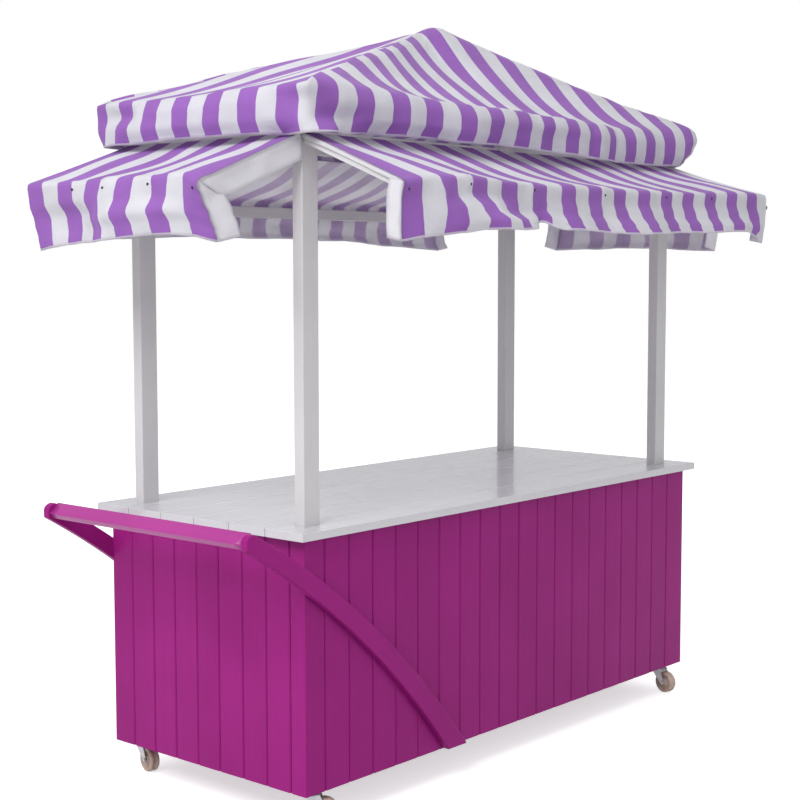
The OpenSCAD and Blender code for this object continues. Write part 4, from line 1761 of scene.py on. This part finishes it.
    def end_parts(self, edge: Array, to_hem: Array, sign: float, slope_rows: int) -> list[Shape]:
        """The white flap along a sloping edge, and the white strip turned back below it.

        Across either strip e goes from 0 at the edge to 1. The flap hangs by e times its height,
        and is cut on the slant by the square of the distance out. The strip goes back by e times
        its width, and rises by a fifth of that.

        Args:
            edge: The points of the main grid's edge, from the posts to the hem.
            to_hem: Length of cloth from each of them to the hem.
            sign: -1 at the left end, 1 at the right end.
            slope_rows: How many of the points are on the slope.

        Returns:
            The two strips.
        """
        e = np.linspace(0, 1, 7)[None, :]
        slope = edge[:slope_rows, None, :]
        fall = self.flap * e + 0 * slope[..., 1]
        share = np.clip(slope[..., 1] / self.reach, 0, 1)
        back = 1.15 * fall * share**2
        tilt = 0.003 * np.sin(math.pi * e) * ripple(slope[..., 1], 0 * slope[..., 1], 0.12, self.seed + 9)
        level = self.size.awning_fall / self.reach * back
        aside = slope[..., 0] + sign * (self.size.cloth_t * e + tilt)
        flap = np.stack([aside, slope[..., 1] - back, slope[..., 2] - fall + level], -1)
        v = 0.03 + self.flap * (1 - e) + 0 * slope[..., 1]
        uv = np.stack([self.size.stripe * (1.08 + 0.84 * fall / self.flap), v], -1)
        parts = [self.part(flap, uv, flip=sign > 0)]
        k = max(int(self.back / self.cell), 3) + 1
        e = np.linspace(0, 1, k)[None, :]
        hang = edge[slope_rows - 1:, None, :]
        uneven = ripple(hang[..., 2], 0 * hang[..., 2], 0.08, self.seed + 12)
        crumple = 0.004 * np.sin(2 * math.pi * e) * uneven
        aside = hang[..., 0] + sign * (self.size.cloth_t * e + crumple)
        strip = np.stack([aside, hang[..., 1] - self.back * e, hang[..., 2] + 0.2 * self.back * e], -1)
        across = self.size.stripe * (1.08 + 0.84 * e) + 0 * hang[..., 2]
        uv = np.stack([across, to_hem[slope_rows - 1:, None] + 0 * e], -1)
        parts.append(self.part(strip, uv, flip=sign > 0))
        return parts


@dataclass
class Fittings(Assembly):
    """Dark snaps that hold the awnings, bolts in their bars' ends, and their arms' brackets.

    Attributes:
        snap_r: Radius of a snap.
        bolt_r: Radius of a bolt's cap.
        bolts: Middle of each bolt, its direction and its length.
    """

    snap_r: float = 0.0038
    bolt_r: float = 0.0085
    bolts: tuple[tuple[tuple[float, float, float], tuple[float, float, float], float], ...] = (
        ((0.985, -0.722, 1.784), (1.0, 0.0, 0.0), 0.076),
        ((-1.296, 0.376, 1.784), (0.0, 1.0, 0.0), 0.032),
    )

    def across(self, way: Array) -> tuple[Array, Array]:
        """Two unit directions square to a given one, and to each other.

        Args:
            way: The given direction.

        Returns:
            The two directions.
        """
        first = np.cross(way, (0.0, 0.0, 1.0))
        first = first / np.linalg.norm(first)
        return first, np.cross(way, first)

    def snap(self, spot: Array, way: Array) -> Shape:
        """One snap: a low dome on a flange.

        Args:
            spot: Its place.
            way: Direction of its axis, the cloth's normal.

        Returns:
            The solid.
        """
        a, b = self.across(way)
        r = self.snap_r
        profile = np.array(
            [[0.0004, -0.0012], [r, -0.0012], [r, 0.0004], [0.75 * r, 0.0016], [0.4 * r, 0.0024],
             [0.0004, 0.0026]]
        )
        return turned(profile, 20, Axes(tuple(spot), tuple(a), tuple(b)), 0.5)

    def bolt(self, spot: Sequence[float], way: Sequence[float], length: float) -> Shape:
        """One round bolt with eased ends.

        Args:
            spot: Its middle.
            way: Direction of its axis.
            length: Its length.

        Returns:
            The solid.
        """
        a, b = self.across(np.array(way))
        r, h, e = self.bolt_r, length / 2, 0.0015
        profile = np.array([[0.0004, -h], [r - e, -h], [r, e - h], [r, h - e], [r - e, h], [0.0004, h]])
        return turned(profile, 24, Axes(tuple(spot), tuple(a), tuple(b)), 0.5)

    def brackets(self) -> list[Shape]:
        """The triangular plates under the end awnings' arms, against the posts."""
        s = self.size
        top = s.awning_z - 0.036
        outline = np.array(
            [[0.0, top], [0.03, top - 0.013], [0.03, top - 0.018], [0.003, top - 0.034], [0.0, top - 0.034]]
        )
        plate = prism(outline, (-0.0015, 0.0015), SIDE_VIEW, 0.5)
        pair = [plate.moved(0, (s.post_x, k * (s.post_y - 0.03), 0)) for k in (-1, 1)]
        return [one.moved(turn) for one in pair for turn in (0, 180)]

    def build(self, snaps: Sequence[tuple[Array, Array]]) -> None:
        """Builds and dresses all of them.

        Args:
            snaps: Each snap's place and the cloth's normal there.
        """
        parts = [self.snap(spot, way) for spot, way in snaps]
        parts += [self.bolt(*bolt) for bolt in self.bolts] + self.brackets()
        Piece("awning_fittings", "zinc").put(Shape.joined(parts), self.finishes.dark)


# ---------------------------------------------------------------- handle


@dataclass
class PullHandle(Assembly):
    """Two bowed side rails screwed to the cabinet, and the grip board between their ends.

    Attributes:
        thick: Thickness of a rail.
        foot_low: Inner corner of the foot, in side view.
        foot_w: Width of the foot.
        tip_low: Lower corner of the upper end.
        lip: Height of the upright face at the end.
        end_w: Distance across the end, from its lower to its top corner.
        tilt: Tilt of that line in degrees.
        bows: How far the upper and lower edges bow out.
        round_off: Radius of a rail's long edges.
        grip: Width and thickness of the grip board.
        grip_from: Where its face starts from the lower corner of the rails' ends.
        grip_tilt: Tilt of its face in degrees.
    """

    thick: float = 0.025
    foot_low: tuple[float, float] = (-0.4, 0.1)
    foot_w: float = 0.09
    tip_low: tuple[float, float] = (-1.241, 0.83)
    lip: float = 0.023
    end_w: float = 0.051
    tilt: float = 57.0
    bows: tuple[float, float] = (0.059, 0.053)
    round_off: float = 0.006
    grip: tuple[float, float] = (0.045, 0.025)
    grip_from: tuple[float, float] = (0.003, 0.015)
    grip_tilt: float = 40.5

    def arc(self, start: Array, end: Array, height: float, t: Array) -> Array:
        """Points on the circular arc that bows out by a height between two points.

        The radius is (c^2 / 4 + h^2) / 2h for a chord c, and the angle runs evenly.

        Args:
            start: First point.
            end: Last point.
            height: Bow, to the left of the way from start to end.
            t: Fractions of the way, 0 to 1.

        Returns:
            The points, n by 2.
        """
        chord = end - start
        c = np.linalg.norm(chord)
        left = np.array([-chord[1], chord[0]]) / c
        radius = (c * c / 4 + height * height) / (2 * height)
        centre = (start + end) / 2 + left * (height - radius)
        half = math.asin(min(1.0, c / 2 / abs(radius))) * np.sign(radius)
        angle = half * (1 - 2 * t)[:, None]
        along = chord / c
        across = np.sign(radius) * left * np.cos(angle) - along * np.sin(angle) * np.sign(radius)
        return centre + abs(radius) * across

    def rail(self) -> Shape:
        """The rail on the front side, cut from one board along its two arcs.

        Its upper end is upright, then turns over to the top arc along a parabola. The grain
        runs with the rail.

        Returns:
            The solid.
        """
        tilt = math.radians(self.tilt)
        tip = np.array(self.tip_low)
        tip_top = tip + self.end_w * np.array([math.cos(tilt), math.sin(tilt)])
        foot = np.array(self.foot_low)
        foot_top = foot + np.array([self.foot_w, 0.0])
        t = np.linspace(0, 1, 61)
        top = self.arc(foot_top, tip_top, -self.bows[0], t)
        low = self.arc(foot, tip, -self.bows[1], t)[::-1]
        lip = tip + np.array([0.0, self.lip])
        shoulder = lip + np.array([0.0035, 0.0165])
        e = np.linspace(0, 1, 11)[1:-1, None]
        nose = (1 - e) ** 2 * tip_top + 2 * e * (1 - e) * shoulder + e**2 * lip
        outline = np.concatenate([top, nose, [lip], low])
        length = np.linalg.norm(np.diff(top, axis=0), axis=1).sum()
        ahead = length + np.linspace(0, 0.05, len(nose) + 1)
        run = np.concatenate([t * length, ahead, (1 - t) * 0 + t[::-1] * length])
        across = np.concatenate([0 * t + 0.05, np.linspace(0.05, 0.0, len(nose) + 1), 0 * t])
        depth = np.array([-self.size.body_w / 2, -self.size.body_w / 2 - self.thick])[:, None]
        rings = SIDE_VIEW.place(outline[None, :, 0], outline[None, :, 1], -depth)
        uv = stacked(run[None, :], across[None, :] + depth)
        return loft(rings, uv, 0.35)

    def board(self) -> Shape:
        """The grip board: a rounded section carried across the stall."""
        tilt = math.radians(self.grip_tilt)
        along = np.array([math.cos(tilt), math.sin(tilt)])
        up = np.array([-along[1], along[0]])
        middle = np.array(self.tip_low) + self.grip_from + along * self.grip[0] / 2 - up * self.grip[1] / 2
        section = rounded(self.grip[0] / 2, self.grip[1] / 2, 0.004)
        flat = middle + section[:, :1] * along + section[:, 1:] * up
        half = self.size.body_w / 2 - 0.0006
        y = np.linspace(-half, half, 24)[:, None]
        rings = stacked(flat[None, :, 0], y, flat[None, :, 1])
        uv = stacked(y, section[None, :, 0] + section[None, :, 1])
        return loft(rings, uv, 0.2)

    def build(self) -> None:
        """Builds and dresses both rails and the grip."""
        rail = self.rail()
        for side, shape in (("front", rail), ("back", rail.mirrored(y=True))):
            node = f"handle_rail_{side}"
            piece = Piece(f"handle_{side}_rounded", "magenta_paint", replaces=(node,), bevel=self.round_off)
            piece.put(shape, self.finishes.magenta)
        grip = Piece("handle_grip_board", "magenta_paint", replaces=("handle_grip",))
        # The grip board gets the lighter magenta: painted light on its upturned face.
        grip.put(self.board(), self.finishes.magenta_grip_painted_light)


# ---------------------------------------------------------------- castors


@dataclass
class Castors(Assembly):
    """Four swivel castors: pressed forks, plates with bolts, and moulded wheels.

    Attributes:
        axis: Place of the swivel axes.
        trail: How far a wheel trails.
        wheel_r: Radius of a wheel.
        wheel_w: Its width.
        fork_edge: Width of a fork's eased edges.
        plate_edge: Width of the plates' eased edges.
        yaws: Corner name, its signs in X and Y, and the way its wheel trails in degrees.
    """

    axis: tuple[float, float] = (0.925, 0.371)
    trail: float = 0.032
    wheel_r: float = 0.0375
    wheel_w: float = 0.03
    fork_edge: float = 0.0006
    plate_edge: float = 0.0005
    yaws: tuple[tuple[str, int, int, float], ...] = (
        ("front_left", -1, -1, -50.0),
        ("front_right", 1, -1, -100.0),
        ("back_left", -1, 1, -100.0),
        ("back_right", 1, 1, 140.0),
    )

    def wheel(self) -> Shape:
        """A wheel about its axle: tread with round shoulders, dished web and hub."""
        r, w = self.wheel_r, self.wheel_w / 2
        shoulder = np.linspace(0, math.pi / 2, 5)
        edge = 0.0042
        round_up = np.stack([r - edge + edge * np.sin(shoulder), -w + edge * (1 - np.cos(shoulder))], -1)
        half = np.concatenate(
            [[[0.0042, -w + 0.0004], [0.011, -w + 0.0004], [0.0122, -w + 0.0016], [0.0135, -w + 0.006],
              [r - 0.0125, -w + 0.006], [r - 0.011, -w + 0.0016], [r - 0.0098, -w]], round_up]
        )
        groove = np.array([[r, -0.0052], [r - 0.0007, -0.0046], [r - 0.0007, 0.0046], [r, 0.0052]])
        profile = np.concatenate([half, groove, (half * np.array([1, -1]))[::-1]])
        return turned(profile, 72, Axes((self.trail, 0, r), (1, 0, 0), (0, 0, 1)))

    def leg(self) -> Array:
        """Outline of a fork leg: a flared top and two tangent sides down to a round end."""
        r, top_z, half = 0.009, 0.086, 0.0205
        angle = np.linspace(math.radians(215), math.radians(395), 17)
        low = np.stack([self.trail + r * np.cos(angle), self.wheel_r + r * np.sin(angle)], -1)
        start, end = [[-half, top_z], [-half, top_z - 0.008]], [[half + 0.001, top_z - 0.004], [half, top_z]]
        return np.concatenate([start, low, end])

    def fork(self) -> list[Shape]:
        """The fork about its swivel axis: crown, two legs, axle, nut, bolt head and pin."""
        inner = self.wheel_w / 2 + 0.002
        plate = 0.0028
        legs = [prism(self.leg(), (k * inner, k * (inner + plate)), SIDE_VIEW, 0.4) for k in (1, -1)]
        dish = np.array(
            [[0.004, 0.080], [0.0215, 0.080], [0.0222, 0.0835], [0.0195, 0.0862], [0.004, 0.0862]]
        )
        crown = turned(dish, 48, PLAN, 0.5)
        bridge = prism(rounded(0.0155, inner + plate, 0.004), (0.0802, 0.0838), PLAN, 0.5)
        pin = disc(0.005, (0.0862, 0.0958), PLAN, 24)
        axle_axes = Axes((self.trail, 0, self.wheel_r), (1, 0, 0), (0, 0, 1))
        reach = inner + plate
        axle = disc(0.0041, (-reach - 0.0035, reach + 0.0035), axle_axes, 24)
        nut = disc(0.0066, (reach, reach + 0.0028), axle_axes, 6)
        head = disc(0.0066, (-reach - 0.0028, -reach), axle_axes, 6)
        return [*legs, crown, bridge, pin, axle, nut, head]

    def plates(self) -> Shape:
        """The four fixing plates with their ball races and bolt heads."""
        plate = prism(rounded(0.031, 0.031, 0.006), (0.097, 0.0998), PLAN, 0.5)
        race = np.array(
            [[0.0054, 0.0885], [0.018, 0.0885], [0.0218, 0.0905], [0.0205, 0.0945], [0.016, 0.0972],
             [0.0054, 0.0972]]
        )
        parts = [plate, turned(race, 48, PLAN)]
        bolt = disc(0.005, (0.0938, 0.0972), PLAN, 6)
        spread = 0.023
        parts += [bolt.moved(0, (spread * sx, spread * sy, 0)) for sx in (-1, 1) for sy in (-1, 1)]
        one = Shape.joined(parts)
        corners = [(sx * self.axis[0], sy * self.axis[1], 0) for _, sx, sy, _ in self.yaws]
        return Shape.joined([one.moved(0, corner) for corner in corners])

    def build(self) -> None:
        """Builds and dresses the castors, each fork and wheel on its own body."""
        fork, wheel = Shape.joined(self.fork()), self.wheel()
        for name, sx, sy, yaw in self.yaws:
            at = (sx * self.axis[0], sy * self.axis[1], 0.0)
            pressed = Piece(
                f"fork_{name}_pressed", "zinc", f"fork_{name}", (f"castor_fork_{name}",), bevel=self.fork_edge
            )
            pressed.put(fork.moved(yaw, at), self.finishes.zinc)
            moulded = Piece(f"wheel_{name}_moulded", "tread", f"wheel_{name}", (f"castor_wheel_{name}",))
            moulded.put(wheel.moved(yaw, at), self.finishes.wheel)
        plates = Piece(
            "castor_plates_pressed", "zinc", replaces=("castor_plates",), bevel=self.plate_edge
        )
        plates.put(self.plates(), self.finishes.zinc)


# ---------------------------------------------------------------- studio


@dataclass
class Studio:
    """Plain pale floor, soft light and the camera.

    Attributes:
        spot: The camera's place.
        yaw: Its direction from +X towards +Y, in degrees.
        pitch: How far it looks down, in degrees.
        roll: Its roll, in degrees.
        lens: Its lens in millimetres, on a 36 mm sensor.
        bounce: The floor's colour to everything but the camera, linear.
        glow: The floor's own light as the camera sees it, so that it looks white.
        floor_half: Half of the floor's width.
        sky: Strength of the sky's light.
        aim: What the lamps point at.
    """

    spot: tuple[float, float, float] = (-4.0043, -3.3797, 1.5658)
    yaw: float = 41.041
    pitch: float = 4.792
    roll: float = -0.067
    lens: float = 69.80
    bounce: Color = (0.66, 0.65, 0.65)
    glow: float = 0.58
    floor_half: float = 30.0
    sky: float = 0.62
    aim: tuple[float, float, float] = (0.0, 0.0, 1.1)

    def camera(self) -> None:
        """Makes the camera."""
        data = bpy.data.cameras.new("camera")
        data.lens, data.sensor_width = self.lens, 36.0
        data.clip_end = 60.0
        obj = bpy.data.objects.new("camera", data)
        bpy.context.scene.collection.objects.link(obj)
        yaw, pitch = math.radians(self.yaw), math.radians(-self.pitch)
        level = math.cos(pitch)
        look = Vector((level * math.cos(yaw), level * math.sin(yaw), math.sin(pitch)))
        roll = Matrix.Rotation(math.radians(self.roll), 4, "Z")
        turn = look.to_track_quat("-Z", "Y").to_matrix().to_4x4() @ roll
        obj.matrix_world = Matrix.Translation(self.spot) @ turn
        bpy.context.scene.camera = obj

    def floor(self) -> None:
        """Makes the pale floor, which shows white to the camera and keeps its shadows."""
        g = Graph("floor")
        path = g.add("ShaderNodeLightPath")
        speck = g.noise(g.stretched("Object", (1.0, 1.0, 1.0)), 2.0, 2.0)
        pale = g.blend(speck, (0.76, 0.76, 0.76), (0.78, 0.78, 0.78))
        color = g.blend(path.outputs["Is Camera Ray"], self.bounce, pale)
        seen = g.math("MAXIMUM", path.outputs["Is Camera Ray"], path.outputs["Is Glossy Ray"])
        seen = g.math("MAXIMUM", seen, path.outputs["Is Transmission Ray"])
        glow = g.math("MULTIPLY", seen, self.glow)
        g.paint(Base_Color=color, Roughness=0.9, Emission_Color=(1, 1, 1, 1), Emission_Strength=glow)
        half = self.floor_half
        corners = np.array([[-half, -half, 0], [half, -half, 0], [half, half, 0], [-half, half, 0]], float)
        mesh = bpy.data.meshes.new("floor")
        mesh.from_pydata(corners.tolist(), [], [[0, 1, 2, 3]])
        mesh.materials.append(g.material)
        obj = bpy.data.objects.new("floor", mesh)
        bpy.context.scene.collection.objects.link(obj)

    def world(self) -> None:
        """Makes the world: an even sky, and plain white where it is seen or reflected."""
        world = bpy.data.worlds.new("studio")
        world.use_nodes = True
        tree = world.node_tree
        tree.nodes.clear()
        out = tree.nodes.new("ShaderNodeOutputWorld")
        light, seen = tree.nodes.new("ShaderNodeBackground"), tree.nodes.new("ShaderNodeBackground")
        light.inputs["Color"].default_value = (0.97, 0.985, 1.0, 1.0)
        light.inputs["Strength"].default_value = self.sky
        seen.inputs["Color"].default_value = (1, 1, 1, 1)
        seen.inputs["Strength"].default_value = 1.0
        path = tree.nodes.new("ShaderNodeLightPath")
        either = tree.nodes.new("ShaderNodeMath")
        either.operation = "MAXIMUM"
        tree.links.new(path.outputs["Is Camera Ray"], either.inputs[0])
        tree.links.new(path.outputs["Is Transmission Ray"], either.inputs[1])
        mix = tree.nodes.new("ShaderNodeMixShader")
        tree.links.new(either.outputs[0], mix.inputs[0])
        tree.links.new(light.outputs[0], mix.inputs[1])
        tree.links.new(seen.outputs[0], mix.inputs[2])
        tree.links.new(mix.outputs[0], out.inputs["Surface"])
        bpy.context.scene.world = world

    def lamp(self, name: str, spot: Sequence[float], size: float, watts: float) -> None:
        """Makes one soft square lamp that points at the middle of the stall.

        Args:
            name: Its name.
            spot: Its place.
            size: Its width.
            watts: Its power.
        """
        data = bpy.data.lights.new(name, "AREA")
        data.shape, data.size, data.energy = "SQUARE", size, watts
        obj = bpy.data.objects.new(name, data)
        bpy.context.scene.collection.objects.link(obj)
        way = Vector(self.aim) - Vector(spot)
        obj.matrix_world = Matrix.Translation(spot) @ way.to_track_quat("-Z", "Y").to_matrix().to_4x4()

    def build(self) -> None:
        """Builds the camera, floor, sky and lamps, and sets the plain view transform."""
        self.camera()
        self.floor()
        self.world()
        self.lamp("key", (-6.0, -1.2, 6.0), 4.0, 420.0)
        self.lamp("fill", (-1.0, -7.0, 4.0), 5.0, 75.0)
        self.lamp("rim", (5.0, 4.0, 5.0), 4.0, 160.0)
        bpy.context.scene.view_settings.view_transform = "Standard"


# ---------------------------------------------------------------- making


def awnings(size: Sizes, finishes: Finishes) -> tuple[Awning, ...]:
    """The four awnings, each with its own hanging edge and snaps.

    Args:
        size: The shared sizes.
        finishes: The shared finishes.

    Returns:
        The front, back, left and right awnings.
    """
    ends = dict(reach=size.reach_end, half=size.post_y, flap=0.075, back=0.08, count=11)
    sides = dict(reach=size.reach_side, half=size.post_x, flap=0.014, back=0.05, count=28)
    front = Skirt(
        (-1.0, -0.93, -0.86, -0.79, -0.72, -0.64, -0.57, -0.5, -0.38, -0.3, 0.1, 0.5, 0.8, 0.93, 1.0),
        ((-6, -16, -16, -16, -14), (0, -4, 2, 8, 12), (0, 20, 26, 22, 16), (0, 5, 38, 44, 30),
         (0, -2, 42, 66, 55), (0, -2, 36, 88, 88), (0, -4, 20, 80, 84), (0, 0, 10, 56, 66),
         (0, -3, 2, 26, 20), (0, -3, 8, 26, 40), (0, -4, 12, 38, 60), (0, -6, 10, 40, 52),
         (0, -5, 8, 34, 30), (0, 0, 16, 20, -6), (0, 0, -4, -12, -18)),
        rise=(-8, 2, 8, 16, 26, 30, 30, 32, 34, 26, 26, 38, 44, 32, 12),
        top=(-12, 2, 6, 9, 12, 12, 10, 6, 2, 2, 4, 12, 20, 22, 20),
        outward=0.5, along=0.5,
    )
    back = Skirt(
        (-1.0, -0.7, -0.4, -0.1, 0.2, 0.5, 0.8, 1.0),
        ((0, 4, 6, 0, -16), (0, 0, 14, 8, -6), (0, 6, 4, 16, 6), (0, -2, 16, 6, -8), (0, 6, 8, 20, 4),
         (0, 0, 16, 4, -10), (0, 4, 6, 14, 0), (0, 4, 6, 0, -16)),
        rise=(0, 14, 30, 34, 34, 30, 16, 0),
    )
    left = Skirt(
        (-1.0, -0.82, -0.6, -0.45, -0.27, -0.09, 0.09, 0.27, 0.45, 0.64, 0.82, 1.0),
        ((0, -8, -28, -42, -50), (0, -9, -38, -43, -48), (0, 0, -34, -45, -42), (0, 2, -32, -42, -40),
         (0, 12, -10, -32, -28), (0, 14, 14, -8, -5), (0, 12, 35, 8, 2), (0, 12, 33, 12, 6),
         (0, 2, 26, 12, 2), (0, 8, 23, 0, -6), (6, 6, 0, -18, -30), (22, 0, -26, -46, -58)),
        rise=(-24, -16, -8, -4, -4, -3, -2, 0, 2, 4, 2, -12),
        top=(6, 9, 9, 9, 8, 6, 6, 8, 11, 14, 10, -10),
        outward=0.65, along=-0.3,
    )
    right = Skirt(
        (-1.0, -0.6, -0.2, 0.2, 0.6, 1.0),
        ((0, 0, -6, -16, -28), (0, 4, 16, 6, -10), (0, 8, 6, 16, 0), (0, 0, 18, 6, -12),
         (0, 6, 10, 14, -4), (0, 0, -6, -16, -28)),
        rise=(-12, -6, 0, 4, 2, -4),
    )
    return (
        Awning(size, finishes, Side.FRONT, **sides, seed=100, skirt=front, notch=-0.36,
               flare=(0.0, 0.033), snaps=(-0.94, -0.688, -0.394, -0.037, 0.318, 0.609)),
        Awning(size, finishes, Side.BACK, **sides, seed=200, skirt=back,
               snaps=(-0.609, -0.318, 0.037, 0.394, 0.688)),
        Awning(size, finishes, Side.LEFT, **ends, seed=300, skirt=left,
               flare=(0.01, 0.0), snaps=(-0.172, -0.023, 0.15, 0.345)),
        Awning(size, finishes, Side.RIGHT, **ends, seed=400, skirt=right, snaps=(-0.18, 0.0, 0.17)),
    )


def main() -> None:
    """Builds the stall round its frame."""
    logging.basicConfig(level=logging.INFO, format="%(name)s %(message)s")
    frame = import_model()
    size, finishes = SIZES, Finishes()
    Studio().build()
    BoardedCabinet(size, finishes).build()
    CounterTop(size, finishes).build()
    RoofTimber(size, finishes).build()
    PullHandle(size, finishes).build()
    Castors(size, finishes).build()
    canopy = HipCanopy(size, finishes).build()
    spots = []
    for awning in awnings(size, finishes):
        cloth = awning.build()
        spots += awning.spots
        name = awning.side.name.lower()
    Fittings(size, finishes).build(spots)
    inside = {
        "bottom_panel": finishes.magenta_plain,
        "base_frame": finishes.white_plain,
        "top_frame": finishes.white_plain,
    }
    for node, material in inside.items():
        mesh = frame["nodes"][node].data
        mesh.materials.clear()
        mesh.materials.append(material)
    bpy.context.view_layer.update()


if __name__ == "__main__":
    main()
